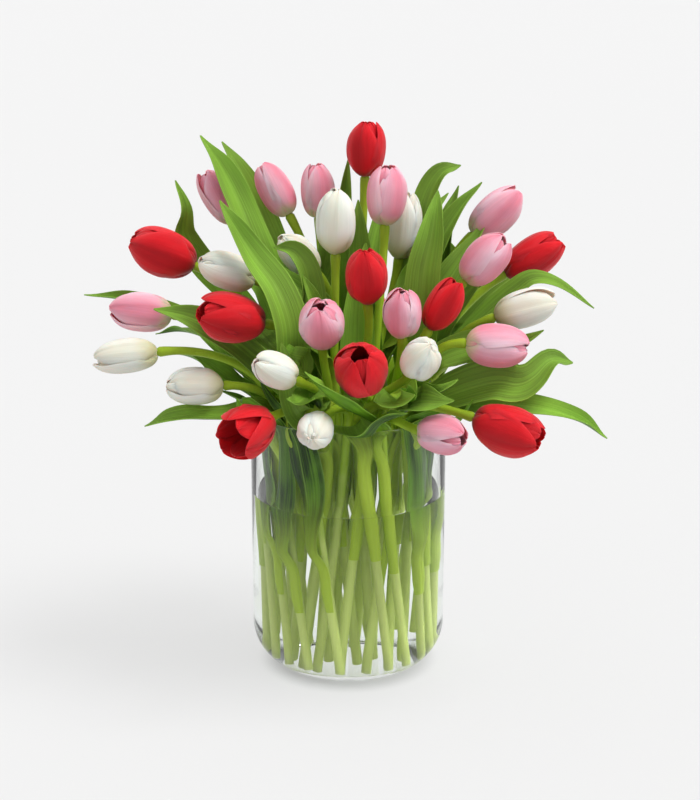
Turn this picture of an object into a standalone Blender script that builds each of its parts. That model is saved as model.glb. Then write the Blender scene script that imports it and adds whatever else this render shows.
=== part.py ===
"""Tulips standing in a clear glass vase with water.

Every stem stands on the vase's floor, passes the mouth and ends in its bloom.
Long leaves clasp the stems below the mouth and open above it. The origin is the
middle of the vase's foot, +Z is up and -Y is the front. Lengths are in metres;
the planting tables are in millimetres.
"""

import math

import bmesh
import bpy
import numpy as np

# ---- driving dimensions -------------------------------------------------------
MM = 0.001
GAP = 0.0003  # clearance between pieces that touch

VASE_RADIUS = 0.080
VASE_HEIGHT = 0.222
VASE_WALL = 0.0035
VASE_FLOOR = 0.008  # thickness of the glass under the water
CORNER_RADIUS = 0.036  # rounding between foot and side, outside
VASE_SIDES = 32
ARC_STEPS = 5
WATER_LEVEL = 0.150

STEM_RADIUS = 0.0037
STEM_SIDES = 6
STEM_BOW = 0.002  # how far a stem bows sideways inside the vase
BOW_TURN = 140  # degrees from the way one stem bows to the way the next does
BLOOM_PULL = 1.1  # how strongly a stem's end follows its bloom's axis
FOOT_LIFT = 0.0005  # more clearance where the floor curves up
BLOOM_SIDES = 12
# Outline of a closed bloom: share of its length, share of its radius
BLOOM_OUTLINE = ((0.06, 0.60), (0.30, 1.0), (0.65, 0.92), (0.92, 0.45))

LEAF_THICKNESS = 0.0012
SHEATH_RADIUS = 0.0052  # middle of the leaf's thickness, where it clasps the stem
SHEATH_HALF_ANGLE = math.radians(100)
SHEATH_TOP = 0.185  # height at which a leaf starts to leave its stem
BLADE_HALF_ANGLE = math.radians(24)  # curl of the open blade
LEAF_PANELS = 4

# Rings of stems: how many, radius at the mouth, radius on the floor, twist in degrees
STEM_RINGS = ((15, 0.063, 0.057, 26.0), (11, 0.042, 0.039, -36.0), (7, 0.020, 0.019, 48.0))
OWN_ANGLE_SHARE = 0.4  # how far a stem stands under its own bloom, not in an even ring

LOW_STEPS = 20  # points along a stem inside the vase
HIGH_STEPS = 36  # points along a stem above the mouth
STEM_PICKS = (0, 7, 14, 20, 25, 30, 35, 40, 45, 50, 56)  # points that carry a ring
SHEATH_STEPS = 2  # rows of a leaf along its stem
BLADE_STEPS = 8  # rows of a leaf above that
LEAF_FINE = 4  # parts that each step is cut into while leaves settle

ROOM = 0.0019  # clearance that settling aims for
GLASS_ROOM = 0.0006  # more of it against the glass
SETTLE_ROUNDS = 190
SETTLE_SHARE = 0.6  # share of its push that a piece moves in one round
OVER_RIM = 0.012  # how near the wall something outside it is still lifted over the rim
AGAINST = -0.2  # a push this much against the main one is turned to follow it
AGAINST_LIMIT = 3  # and is at most this many times the distance wanted

CHANNEL_ROOM = 0.0004  # between a stem and the water round it
CHANNEL_RINGS = 5  # of the rings that a stem carries, those that lie under water
CHANNEL_DEEPER = 0.15  # share of a stretch of stem that its channel starts below it
SHEATH_LEAD = 0.002  # how far below a sheath its channel grows wide
RING_APART = 0.001  # two rings of a channel lie at least this far apart
STEP_RISE = 0.0001  # height of the step where a channel grows wide

COLOURS = {
    "red": (0.50, 0.012, 0.022),
    "pink": (0.80, 0.36, 0.45),
    "white": (0.82, 0.79, 0.68),
}

# ---- planting tables, in millimetres and degrees ------------------------------
# colour, middle of the bloom, lean from upright, heading (0 is +X, 90 is +Y),
# bloom length, bloom radius
TULIPS = (
    ("red", (15, 45, 425), 3, 0, 48, 17),
    ("pink", (-25, 50, 390), 2, 180, 46, 14),
    ("pink", (-60, 55, 390), 30, 165, 50, 15),
    ("pink", (-105, 50, 385), 33, 170, 52, 15),
    ("pink", (30, 0, 395), 2, 0, 51, 17),
    ("white", (-10, -30, 380), 2, 270, 56, 17),
    ("white", (45, 30, 365), 8, 0, 56, 15),
    ("pink", (120, 30, 375), 48, 8, 54, 17),
    ("white", (-40, 10, 345), 42, 190, 48, 15),
    ("red", (-150, 20, 345), 66, 180, 58, 19),
    ("white", (-95, -30, 340), 70, 190, 50, 16),
    ("pink", (105, -40, 350), 42, 350, 52, 18),
    ("red", (150, 25, 340), 57, 0, 56, 17),
    ("red", (20, -65, 340), 12, 260, 50, 18),
    ("pink", (40, -75, 320), 15, 270, 46, 17),
    ("red", (70, -60, 320), 28, 355, 48, 15),
    ("white", (140, -30, 310), 73, 0, 54, 16),
    ("pink", (-165, -20, 305), 84, 180, 53, 17),
    ("red", (-90, -60, 310), 75, 200, 58, 20),
    ("pink", (-20, -80, 310), 32, 270, 48, 19),
    ("pink", (115, -70, 290), 93, 355, 50, 18),
    ("white", (55, -105, 290), 45, 300, 46, 17),
    ("white", (-175, -45, 275), 96, 186, 54, 15),
    ("red", (10, -105, 280), 38, 265, 50, 22),
    ("white", (-55, -105, 280), 60, 215, 48, 16),
    ("white", (-120, -60, 255), 88, 190, 48, 16),
    ("red", (-75, -110, 235), 98, 230, 52, 23),
    ("white", (-25, -115, 235), 92, 262, 46, 16),
    ("pink", (75, -105, 230), 90, 325, 46, 17),
    ("red", (120, -100, 230), 104, 340, 60, 20),
    ("white", (-55, 110, 285), 62, 118, 50, 16),
    ("red", (15, 125, 275), 66, 88, 52, 18),
    ("pink", (80, 100, 280), 60, 52, 50, 17),
)

# where its stem stands in the mouth, height where it starts, point it bends
# towards, tip, greatest width, way its upper side faces
LEAVES = (
    ((-30, 15), 130, (-80, 25, 385), (-120, 50, 435), 34, (6, -8, 2)),
    ((-40, 45), 140, (-85, 70, 395), (-105, 85, 425), 32, (7, -7, 3)),
    ((-55, 25), 130, (-95, 25, 340), (-140, 40, 400), 28, (6, -8, 2)),
    ((-20, -60), 115, (-65, -60, 345), (-100, -25, 395), 32, (5, -9, 1)),
    ((-8, -25), 130, (-18, -40, 372), (-58, -35, 360), 26, (4, -8, 3)),
    ((-41, -10), 140, (-135, 20, 305), (-215, 18, 310), 19, (2, -5, 8)),
    ((-30, -30), 125, (-90, -42, 305), (-155, -30, 308), 34, (2, -8, 6)),
    ((-61, -14), 140, (-105, -22, 278), (-152, -8, 266), 20, (0, -4, 9)),
    ((-54, -33), 140, (-115, -82, 246), (-160, -60, 222), 20, (0, -5, 8)),
    ((40, 25), 130, (50, 40, 415), (92, 55, 410), 30, (-6, -8, 2)),
    ((45, -20), 125, (68, -40, 370), (70, -20, 402), 30, (-2, -9, 1)),
    ((17, 10), 140, (75, 25, 365), (108, 32, 400), 24, (-6, -8, 2)),
    ((60, 30), 140, (125, 60, 325), (175, 68, 328), 22, (-2, -6, 8)),
    ((60, -10), 140, (115, -5, 380), (198, 0, 303), 22, (-2, -5, 8)),
    ((45, -50), 125, (125, -80, 310), (176, -50, 271), 38, (-3, -8, 6)),
    ((60, -40), 140, (150, -85, 262), (204, -60, 212), 26, (0, -5, 8)),
    ((0, 40), 140, (-5, 55, 370), (0, 60, 415), 18, (0, -9, 1)),
    ((15, 0), 130, (8, 10, 350), (8, 18, 388), 24, (0, -9, 1)),
    ((30, -50), 140, (-5, -128, 248), (-33, -110, 280), 22, (4, 1, 9)),
    ((5, -60), 140, (8, -115, 236), (45, -112, 248), 24, (-3, 1, 9)),
    ((-22, 40), 130, (-58, 98, 320), (-100, 138, 335), 30, (4, -4, 8)),
    ((0, 62), 140, (-10, 120, 300), (-15, 175, 290), 30, (0, -3, 9)),
    ((20, 38), 130, (48, 78, 340), (85, 108, 378), 28, (-3, -6, 6)),
    ((4, 19), 140, (22, 55, 345), (35, 92, 388), 24, (-2, -6, 6)),
    ((-63, 5), 140, (-108, 62, 280), (-165, 86, 260), 24, (4, -2, 8)),
)


# ---- curves -------------------------------------------------------------------
def unit(vectors):
    """Vectors divided by their lengths."""
    return vectors / np.linalg.norm(vectors, axis=-1, keepdims=True)


def direction(lean, heading):
    """Unit vector that leans from +Z towards a heading, both in degrees."""
    a, h = math.radians(lean), math.radians(heading)
    return np.array([math.sin(a) * math.cos(h), math.sin(a) * math.sin(h), math.cos(a)])


def hermite(start, end, start_pull, end_pull, steps):
    """Cubic from start to end that leaves and arrives along the two pulls."""
    t = np.linspace(0.0, 1.0, steps + 1)[:, None]
    return (
        (2 * t**3 - 3 * t**2 + 1) * start
        + (t**3 - 2 * t**2 + t) * start_pull
        + (3 * t**2 - 2 * t**3) * end
        + (t**3 - t**2) * end_pull
    )


def bezier(c0, c1, c2, c3, steps):
    """Cubic Bezier curve without its first point."""
    t = np.linspace(0.0, 1.0, steps + 1)[1:, None]
    s = 1.0 - t
    return s**3 * c0 + 3 * s**2 * t * c1 + 3 * s * t**2 * c2 + t**3 * c3


def smooth_step(values, low, high):
    """0 below low, 1 above high, and an S between them."""
    t = np.clip((values - low) / (high - low), 0.0, 1.0)
    return t * t * (3.0 - 2.0 * t)


def spread(pushes, passes=5):
    """Evens out a row of pushes, so that what they move stays a smooth curve."""
    for _ in range(passes):
        padded = np.concatenate([pushes[:1], pushes, pushes[-1:]])
        pushes = 0.25 * padded[:-2] + 0.5 * padded[1:-1] + 0.25 * padded[2:]
    return pushes


# ---- vase ---------------------------------------------------------------------
def arc(centre_r, centre_z, radius, start, end):
    """Points of a turned profile along an arc, angles in degrees from +r."""
    angles = np.radians(np.linspace(start, end, ARC_STEPS + 1))
    return [(centre_r + radius * math.cos(a), centre_z + radius * math.sin(a)) for a in angles]


def inner_profile(inset, top):
    """Hollow of the vase from the middle of its floor up to a height, shrunk by inset."""
    flat = VASE_RADIUS - CORNER_RADIUS
    radius = CORNER_RADIUS - VASE_WALL
    corner = arc(flat, VASE_FLOOR + radius, radius - inset, -90, 0)
    return [(0.0, VASE_FLOOR + inset)] + corner + [(flat + radius - inset, top)]


def floor_height(distance):
    """Height of the vase's floor at a distance from its axis."""
    radius = CORNER_RADIUS - VASE_WALL
    out = max(0.0, distance - (VASE_RADIUS - CORNER_RADIUS))
    return VASE_FLOOR + radius - math.sqrt(radius**2 - out**2)


# ---- settling -----------------------------------------------------------------
def separate(a, a_radii, b, b_radii):
    """Pushes that part two sets of balls, each ball moved off its deepest partner.

    Where two pieces cross, some balls would go one way and some the other, so all
    follow the side that most of the depth is on.
    """
    push_a, push_b = np.zeros_like(a), np.zeros_like(b)
    reach = a_radii.max() + b_radii.max() + ROOM
    low = np.maximum(a.min(axis=0), b.min(axis=0)) - reach
    high = np.minimum(a.max(axis=0), b.max(axis=0)) + reach
    pick_a = np.nonzero(((a > low) & (a < high)).all(axis=1))[0]
    pick_b = np.nonzero(((b > low) & (b < high)).all(axis=1))[0]
    if not len(pick_a) or not len(pick_b):
        return push_a, push_b
    gaps = a[pick_a, None, :] - b[None, pick_b, :]
    distance = np.sqrt((gaps**2).sum(axis=2)) + 1e-9
    wanted = a_radii[pick_a, None] + b_radii[None, pick_b] + ROOM
    depth = np.maximum(wanted - distance, 0.0)
    if depth.max() <= 0:
        return push_a, push_b
    way = gaps / distance[:, :, None]
    main = (way * depth[:, :, None]).sum(axis=(0, 1))
    main = main / (np.linalg.norm(main) + 1e-9)
    against = (way @ main < AGAINST) & (depth > 0)
    way = np.where(against[:, :, None], main, way)
    depth = np.where(against, np.minimum(wanted + distance, AGAINST_LIMIT * wanted), depth)
    way = way * depth[:, :, None] / 2
    push_a[pick_a] = way[np.arange(len(pick_a)), depth.argmax(axis=1)]
    push_b[pick_b] = -way[depth.argmax(axis=0), np.arange(len(pick_b))]
    return push_a, push_b


def vase_pushes(points, radii):
    """Pushes that keep balls inside the vase, or over its rim, clear of the glass."""
    distance = np.hypot(points[:, 0], points[:, 1]) + 1e-9
    radii = radii + GLASS_ROOM
    out = points[:, :2] / distance[:, None]
    middle = VASE_RADIUS - VASE_WALL / 2
    rim_z = VASE_HEIGHT - VASE_WALL / 2
    below = points[:, 2] < rim_z
    inside = distance < middle
    pushes = np.zeros_like(points)
    hollow = (VASE_RADIUS - VASE_WALL) * math.cos(math.pi / VASE_SIDES)
    inward = np.maximum(distance + radii + ROOM - hollow, 0.0)
    pushes[:, :2] -= out * np.where(below & inside, inward, 0.0)[:, None]
    lifted = below & ~inside & (distance < VASE_RADIUS + OVER_RIM)
    pushes[:, 2] += np.where(lifted, VASE_HEIGHT + radii + ROOM - points[:, 2], 0.0)
    rim_distance = np.hypot(distance - middle, points[:, 2] - rim_z) + 1e-9
    depth = np.maximum(VASE_WALL / 2 + radii + ROOM - rim_distance, 0.0)
    depth = np.where(below, 0.0, depth)
    pushes[:, 2] += np.where(inside, 0.0, depth)
    pushes[:, :2] -= out * np.where(inside, depth, 0.0)[:, None]
    return pushes


def near_pairs(clouds, reach):
    """Pairs of point clouds whose boxes come within reach of each other."""
    low = np.array([c.min(axis=0) for c in clouds]) - reach / 2
    high = np.array([c.max(axis=0) for c in clouds]) + reach / 2
    meet = (low[:, None] < high[None]).all(axis=2) & (low[None] < high[:, None]).all(axis=2)
    return [(i, j) for i, j in zip(*np.nonzero(meet)) if i < j]


class Tulip:
    """One stem with its bloom: a row of points, and the bloom's axis and sizes."""

    CURVE_ROOM = 0.0006  # a bent stem strays this far from its straight stretches
    CLASP_ROOM = 0.0013  # room inside the vase for the leaf that clasps the stem
    MOUTH_FADE = 0.02  # height above the mouth over which that room goes
    REST_SHARE = 0.3  # share of the pushes on a bloom that adds to its deepest one
    # Balls along a bloom: share of its length, share of its radius
    BALLS = ((0.12, 0.74), (0.33, 1.02), (0.55, 1.02), (0.76, 0.92), (0.94, 0.60))

    def __init__(self, number, colour, middle, lean, heading, length, radius):
        self.name = f"tulip_{number:02d}_{colour}"
        self.number = number
        self.colour = colour
        self.axis = direction(lean, heading)
        self.length = length * MM
        self.radius = radius * MM
        self.middle = np.array(middle) * MM
        self.points = None

    @property
    def base(self):
        """Point where the stem ends in the bloom."""
        return self.points[-1]

    def grow(self, foot, neck):
        """Draws the stem from its foot, through the mouth, to the bloom."""
        t = np.linspace(0.0, 1.0, LOW_STEPS + 1)[:, None]
        rise = unit(neck - foot)
        side = unit(np.cross(rise, direction(90, BOW_TURN * self.number)))
        low = foot + (neck - foot) * t + side * STEM_BOW * np.sin(math.pi * t)
        base = self.middle - self.axis * self.length / 2
        reach = np.linalg.norm(base - neck)
        high = hermite(neck, base, rise * reach, self.axis * reach * BLOOM_PULL, HIGH_STEPS)
        self.points = np.concatenate([low, high[1:]])

    def balls(self):
        """Centres and radii of the balls that stand for the tulip while it settles."""
        heights = np.array([h for h, _ in self.BALLS])[:, None]
        bloom = self.base + self.axis * heights * self.length
        inside = smooth_step(-self.points[:, 2], -VASE_HEIGHT - self.MOUTH_FADE, -VASE_HEIGHT)
        stem = STEM_RADIUS + self.CURVE_ROOM + self.CLASP_ROOM * inside
        shares = np.array([s for _, s in self.BALLS])
        return np.concatenate([self.points, bloom]), np.concatenate([stem, shares * self.radius])

    def shift(self, pushes):
        """Moves the stem by smoothed pushes and carries the bloom whole."""
        stem, bloom = pushes[: len(self.points)], pushes[len(self.points) :]
        stem = spread(stem)
        end = bloom[np.abs(bloom).sum(axis=1).argmax()] + self.REST_SHARE * bloom.sum(axis=0)
        ramp = np.linspace(0.0, 1.0, HIGH_STEPS + 1)[1:, None] ** 2
        stem[-HIGH_STEPS:] += ramp * (end - stem[-1])
        stem[0, 2] = 0.0
        self.points = self.points + stem
        self.points[0, 2] = foot_height(self.points[0])


def foot_height(point):
    """Height at which a stem's cut end rests on the floor of the vase."""
    edge = math.hypot(point[0], point[1]) + STEM_RADIUS
    curved = edge > VASE_RADIUS - CORNER_RADIUS
    return floor_height(edge) + GAP + (FOOT_LIFT if curved else 0.0)


def plant_tulips():
    """Makes the tulips, gives them their places in the vase and settles them."""
    tulips = [Tulip(n, *row) for n, row in enumerate(TULIPS, start=1)]
    outward = [math.hypot(t.middle[0], t.middle[1]) for t in tulips]
    order = sorted(range(len(tulips)), key=lambda i: -outward[i])
    for count, mouth_radius, floor_radius, twist in STEM_RINGS:
        ring, order = order[:count], order[count:]
        ring.sort(key=lambda i: math.atan2(tulips[i].middle[1], tulips[i].middle[0]))
        own = np.array([math.atan2(tulips[i].middle[1], tulips[i].middle[0]) for i in ring])
        even = np.arange(count) * 2 * math.pi / count
        turn = np.angle(np.exp(1j * (own - even)).mean())
        drift = np.angle(np.exp(1j * (own - even - turn)))
        for i, angle in zip(ring, even + turn + OWN_ANGLE_SHARE * drift):
            floor_angle = angle + math.radians(twist)
            foot = np.array([math.cos(floor_angle), math.sin(floor_angle), 0.0]) * floor_radius
            foot[2] = foot_height(foot)
            neck = np.array([math.cos(angle), math.sin(angle), 0.0]) * mouth_radius
            neck[2] = VASE_HEIGHT
            tulips[i].grow(foot, neck)
    settle(tulips, [])
    return tulips


class Leaf:
    """One leaf: the row of its midrib, its width, curl and facing at each point."""

    ACROSS = 7  # balls across the leaf while it settles
    BALL_ROOM = 0.0006  # by which those balls are thicker than the leaf
    PINCH = 0.01  # how fast a row narrows while it is still pushed
    NARROWEST = 0.38  # share of the width that a row keeps
    DEEPEST_SHARE = 0.6  # share of the deepest push in a row that adds to their mean
    RISE_PULL = 0.35  # share of the way to the tip over which a blade follows its stem
    # Shares of the blade between which it widens, uncurls and turns to its facing
    OPENS = (0.08, 0.50)
    FLATTENS = (0.0, 0.48)
    TURNS = (0.08, 0.55)
    # The tip tapers over the last part of the blade: where it starts and how long it is
    TAPER_START = 0.45
    TAPER_SPAN = 0.55
    TAPER_DEPTH = 0.96  # share of the width lost at the very tip
    TAPER_POWER = 2.1

    def __init__(self, number, root, start, bend, tip, width, face):
        self.name = f"leaf_{number:02d}"
        self.root = np.array(root) * MM
        self.start = start * MM
        self.bend = np.array(bend) * MM
        self.tip = np.array(tip) * MM
        self.width = width * MM
        self.face = unit(np.array(face, float))
        self.points = None
        self.clasped = self.ACROSS * (SHEATH_STEPS * LEAF_FINE + 2)  # balls on its own stem

    def grow(self, tulip):
        """Lays the leaf up its tulip's stem and then out to its tip."""
        self.tulip = tulip
        stem = tulip.points[: LOW_STEPS + 1]
        heights = np.linspace(self.start, SHEATH_TOP, SHEATH_STEPS + 1)
        core = np.stack([np.interp(heights, stem[:, 2], stem[:, k]) for k in range(3)], axis=1)
        out = self.tip - core[-1]
        out[2] = 0.0
        self.out = unit(out)
        rise = unit(core[-1] - core[0])
        self.inward = unit(rise * self.out.dot(rise) - self.out)
        clasp = core - self.inward * SHEATH_RADIUS
        reach = np.linalg.norm(self.tip - clasp[-1])
        follow = clasp[-1] + rise * reach * self.RISE_PULL
        blade = bezier(clasp[-1], follow, self.bend, self.tip, BLADE_STEPS)
        self.points = np.concatenate([clasp, blade])
        self.narrowed = np.ones(len(self.points))

    def sections(self):
        """Width, half angle of the curl, and the three directions at every point."""
        b = np.concatenate([np.zeros(SHEATH_STEPS), np.linspace(0.0, 1.0, BLADE_STEPS + 1)])
        clasp = 2 * SHEATH_HALF_ANGLE * SHEATH_RADIUS
        width = clasp + (self.width - clasp) * smooth_step(b, *self.OPENS)
        taper = np.clip((b - self.TAPER_START) / self.TAPER_SPAN, 0.0, 1.0)
        width = width * (1.0 - self.TAPER_DEPTH * taper**self.TAPER_POWER)
        width = width * self.narrowed
        flat = smooth_step(b, *self.FLATTENS)
        half = SHEATH_HALF_ANGLE * (1.0 - flat) + BLADE_HALF_ANGLE * flat
        along = unit(np.gradient(self.points, axis=0))
        turn = smooth_step(b, *self.TURNS)[:, None]
        facing = self.inward * (1.0 - turn) + self.face * turn
        facing = unit(facing - (facing * along).sum(axis=1, keepdims=True) * along)
        return width, half, along, facing, np.cross(along, facing)

    def surface(self, across, lift=0.0):
        """Grid of points over the leaf, raised by lift towards its upper side.

        Each row is an arc through the midrib: its middle of curvature lies on the
        upper side, at the width divided by twice the half angle.
        """
        width, half, _, facing, side = self.sections()
        radius = (width / (2 * half))[:, None, None]
        angle = (half[:, None] * np.linspace(-1.0, 1.0, across)[None, :])[:, :, None]
        outward = np.sin(angle) * side[:, None] - np.cos(angle) * facing[:, None]
        centre = self.points[:, None] + radius * facing[:, None]
        return centre + outward * (radius - lift)

    def weights(self):
        """Shares of the rows in each fine row between them."""
        rows = len(self.points)
        fine = np.linspace(0.0, rows - 1.0, (rows - 1) * LEAF_FINE + 1)
        return np.maximum(1.0 - np.abs(fine[:, None] - np.arange(rows)[None, :]), 0.0)

    def balls(self):
        """Points over the leaf as small balls that stand for it while it settles."""
        fine = np.einsum("fr,rak->fak", self.weights(), self.surface(self.ACROSS))
        points = fine.reshape(-1, 3)
        return points, np.full(len(points), LEAF_THICKNESS / 2 + self.BALL_ROOM)

    def shift(self, pushes):
        """Moves the blade by smoothed pushes; the sheath stays on its stem."""
        fine = pushes.reshape(-1, self.ACROSS, 3)
        deepest = np.abs(fine).sum(axis=2).argmax(axis=1)
        move = fine[np.arange(len(fine)), deepest] * self.DEEPEST_SHARE + fine.mean(axis=1)
        weights = self.weights()
        move = (weights.T @ move) / weights.sum(axis=0)[:, None]
        pinch = np.clip(np.linalg.norm(move, axis=1) / MM, 0.0, 1.0)
        pinch[: SHEATH_STEPS + 1] = 0.0
        self.narrowed = np.maximum(self.narrowed * (1.0 - self.PINCH * pinch), self.NARROWEST)
        move = spread(move, 1)
        move[: SHEATH_STEPS + 1] = 0.0
        self.points = self.points + move


def settle(movers, fixed):
    """Moves pieces apart, a little at a time, until nothing touches."""
    pieces = movers + fixed
    for _ in range(SETTLE_ROUNDS):
        balls = [piece.balls() for piece in pieces]
        pushes = [vase_pushes(points, radii) for points, radii in balls]
        for i, j in near_pairs([points for points, _ in balls], 2 * ROOM):
            if i >= len(movers):
                continue
            push_i, push_j = separate(*balls[i], *balls[j])
            if getattr(movers[i], "tulip", None) is pieces[j]:
                push_i[: movers[i].clasped] = 0.0
            share = 2.0 if j >= len(movers) else 1.0
            pushes[i] += push_i * share
            pushes[j] += push_j
        for piece, push in zip(movers, pushes):
            piece.shift(push * SETTLE_SHARE)


def plant_leaves(tulips):
    """Gives each leaf the free stem nearest its place in the mouth and settles it."""
    leaves = [Leaf(n, *row) for n, row in enumerate(LEAVES, start=1)]
    free = list(tulips)
    for leaf in leaves:
        away = [np.hypot(*(t.points[LOW_STEPS, :2] - leaf.root)) for t in free]
        leaf.grow(free.pop(int(np.argmin(away))))
    settle(leaves, tulips)
    return leaves


# ---- meshes -------------------------------------------------------------------
def material(name, colour, roughness, alpha=1.0):
    """Principled material with one colour."""
    made = bpy.data.materials.new(name)
    made.use_nodes = True
    shader = made.node_tree.nodes["Principled BSDF"]
    shader.inputs["Base Color"].default_value = (*colour, 1.0)
    shader.inputs["Roughness"].default_value = roughness
    shader.inputs["Metallic"].default_value = 0.0
    shader.inputs["Alpha"].default_value = alpha
    return made


def add_object(name, bm, finish, sharp=40):
    """Puts a bmesh into the scene as a smooth-shaded object."""
    bmesh.ops.recalc_face_normals(bm, faces=bm.faces)
    mesh = bpy.data.meshes.new(name)
    bm.to_mesh(mesh)
    bm.free()
    mesh.materials.append(finish)
    mesh.shade_smooth()
    mesh.set_sharp_from_angle(angle=math.radians(sharp))
    made = bpy.data.objects.new(name, mesh)
    bpy.context.scene.collection.objects.link(made)
    return made


def turned(profile):
    """Solid of revolution from a profile whose two ends lie on the axis."""
    bm = bmesh.new()
    verts = [bm.verts.new((r, 0.0, z)) for r, z in profile]
    edges = [bm.edges.new(pair) for pair in zip(verts, verts[1:])]
    bmesh.ops.spin(
        bm,
        geom=verts + edges,
        cent=(0, 0, 0),
        axis=(0, 0, 1),
        angle=2 * math.pi,
        steps=VASE_SIDES,
        use_merge=True,
    )
    bmesh.ops.remove_doubles(bm, verts=bm.verts, dist=1e-6)
    return bm


def grid_faces(bm, rows, closed):
    """Faces between rows of points, joined round when closed; returns the vertices."""
    verts = [[bm.verts.new(point) for point in row] for row in rows]
    for row, above in zip(verts, verts[1:]):
        count = len(row)
        for k in range(count if closed else count - 1):
            n = (k + 1) % count
            bm.faces.new((row[k], row[n], above[n], above[k]))
    return verts


def tube_rings(points, radii, sides):
    """Rings of points round a path, turned as little as possible along it."""
    along = unit(np.gradient(points, axis=0))
    along[0] = (0.0, 0.0, 1.0)  # a foot is cut level, to stand on the floor
    side = unit(np.cross(along[0], (0.0, 1.0, 0.0)))
    angles = np.arange(sides) * 2 * math.pi / sides
    rings = []
    for point, way, radius in zip(points, along, radii):
        side = unit(side - side.dot(way) * way)
        up = np.cross(way, side)
        rings.append(point + radius * (np.outer(np.cos(angles), side) + np.outer(np.sin(angles), up)))
    return rings, side


def build_vase():
    """Glass cylinder with a rounded foot, a thick floor and a rounded lip."""
    flat = VASE_RADIUS - CORNER_RADIUS
    foot = [(0.0, 0.0)] + arc(flat, CORNER_RADIUS, CORNER_RADIUS, -90, 0)
    lip_radius = VASE_WALL / 2
    lip = arc(VASE_RADIUS - lip_radius, VASE_HEIGHT - lip_radius, lip_radius, 0, 180)
    hollow = inner_profile(0.0, VASE_HEIGHT - lip_radius)[::-1][1:]
    glass = material("clear_glass", (0.90, 0.95, 0.94), 0.02, 0.3)
    add_object("vase", turned(foot + lip + hollow), glass)


def stem_path(tulip):
    """The few points of the stem that carry a ring."""
    return tulip.points[list(STEM_PICKS)]


def channel_path(tulip, leaf):
    """Points and radii of the channel that a stem, and the leaf that clasps it, keep free."""
    path = stem_path(tulip)[:CHANNEL_RINGS].copy()
    path[0] += (path[0] - path[1]) * CHANNEL_DEEPER
    room = STEM_RADIUS + CHANNEL_ROOM
    if not leaf or leaf.start >= WATER_LEVEL:
        return path, [room] * len(path)
    wide = (SHEATH_RADIUS + LEAF_THICKNESS / 2 + 3 * GAP) / math.cos(math.pi / STEM_SIDES)
    low = leaf.start - SHEATH_LEAD
    rise = path[:, 2]
    split = np.array([np.interp(low, rise, path[:, k]) for k in range(3)])
    keep = rise < low - RING_APART
    below = int(keep.sum())
    path = np.concatenate([path[keep], split[None], split[None], path[~keep]])
    path[below + 1, 2] += STEP_RISE
    return path, [room] * (below + 1) + [wide] * (len(path) - below - 1)


def cut_channel(water, tulip, leaf):
    """Takes a stem's channel out of the water."""
    path, radii = channel_path(tulip, leaf)
    rings, _ = tube_rings(path, radii, STEM_SIDES)
    bm = bmesh.new()
    verts = grid_faces(bm, rings, closed=True)
    bm.faces.new(verts[0])
    bm.faces.new(verts[-1])
    channel = add_object(f"channel_{tulip.number:02d}", bm, water.active_material)
    channel.hide_render = True
    channel.display_type = "WIRE"
    cut = water.modifiers.new(channel.name, "BOOLEAN")
    cut.operation = "DIFFERENCE"
    cut.solver = "EXACT"
    cut.object = channel


def build_water(tulips, leaves):
    """Water that fills the vase to its level, with a channel for every stem."""
    profile = inner_profile(GAP, WATER_LEVEL) + [(0.0, WATER_LEVEL)]
    water = add_object("water", turned(profile), material("water", (0.85, 0.93, 0.90), 0.02, 0.25))
    clasping = {leaf.tulip.name: leaf for leaf in leaves}
    for tulip in tulips:
        cut_channel(water, tulip, clasping.get(tulip.name))


def build_tulip(tulip, finish):
    """Stem and closed bloom as one solid; two of the bloom's sides meet one of the stem's."""
    path = stem_path(tulip)
    stem_rings, side = tube_rings(path, [STEM_RADIUS] * len(path), STEM_SIDES)
    up = np.cross(tulip.axis, unit(side - side.dot(tulip.axis) * tulip.axis))
    side = np.cross(up, tulip.axis)
    angles = np.arange(BLOOM_SIDES) * 2 * math.pi / BLOOM_SIDES
    circle = np.outer(np.cos(angles), side) + np.outer(np.sin(angles), up)
    bloom_rings = [
        tulip.base + tulip.axis * height * tulip.length + circle * share * tulip.radius
        for height, share in BLOOM_OUTLINE
    ]
    bm = bmesh.new()
    stem = grid_faces(bm, stem_rings, closed=True)
    bloom = grid_faces(bm, bloom_rings, closed=True)
    bm.faces.new(stem[0])
    top = bm.verts.new(tulip.base + tulip.axis * tulip.length)
    for k in range(BLOOM_SIDES):
        bm.faces.new((bloom[-1][k], bloom[-1][(k + 1) % BLOOM_SIDES], top))
    for k in range(STEM_SIDES):
        last, after = stem[-1][k], stem[-1][(k + 1) % STEM_SIDES]
        first, middle, third = (bloom[0][(2 * k + n) % BLOOM_SIDES] for n in range(3))
        bm.faces.new((last, first, middle))
        bm.faces.new((last, middle, third, after))
    add_object(tulip.name, bm, finish, 60)


def build_leaf(leaf, finish):
    """Long leaf of even thickness, closed round its edges."""
    upper = leaf.surface(LEAF_PANELS + 1, LEAF_THICKNESS / 2)
    lower = leaf.surface(LEAF_PANELS + 1, -LEAF_THICKNESS / 2)
    loops = np.concatenate([upper, lower[:, ::-1]], axis=1)
    bm = bmesh.new()
    verts = grid_faces(bm, loops, closed=True)
    count = loops.shape[1]
    for end in (verts[0], verts[-1]):
        for k in range(LEAF_PANELS):
            bm.faces.new((end[k], end[k + 1], end[count - 2 - k], end[count - 1 - k]))
    add_object(leaf.name, bm, finish, 60)


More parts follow.
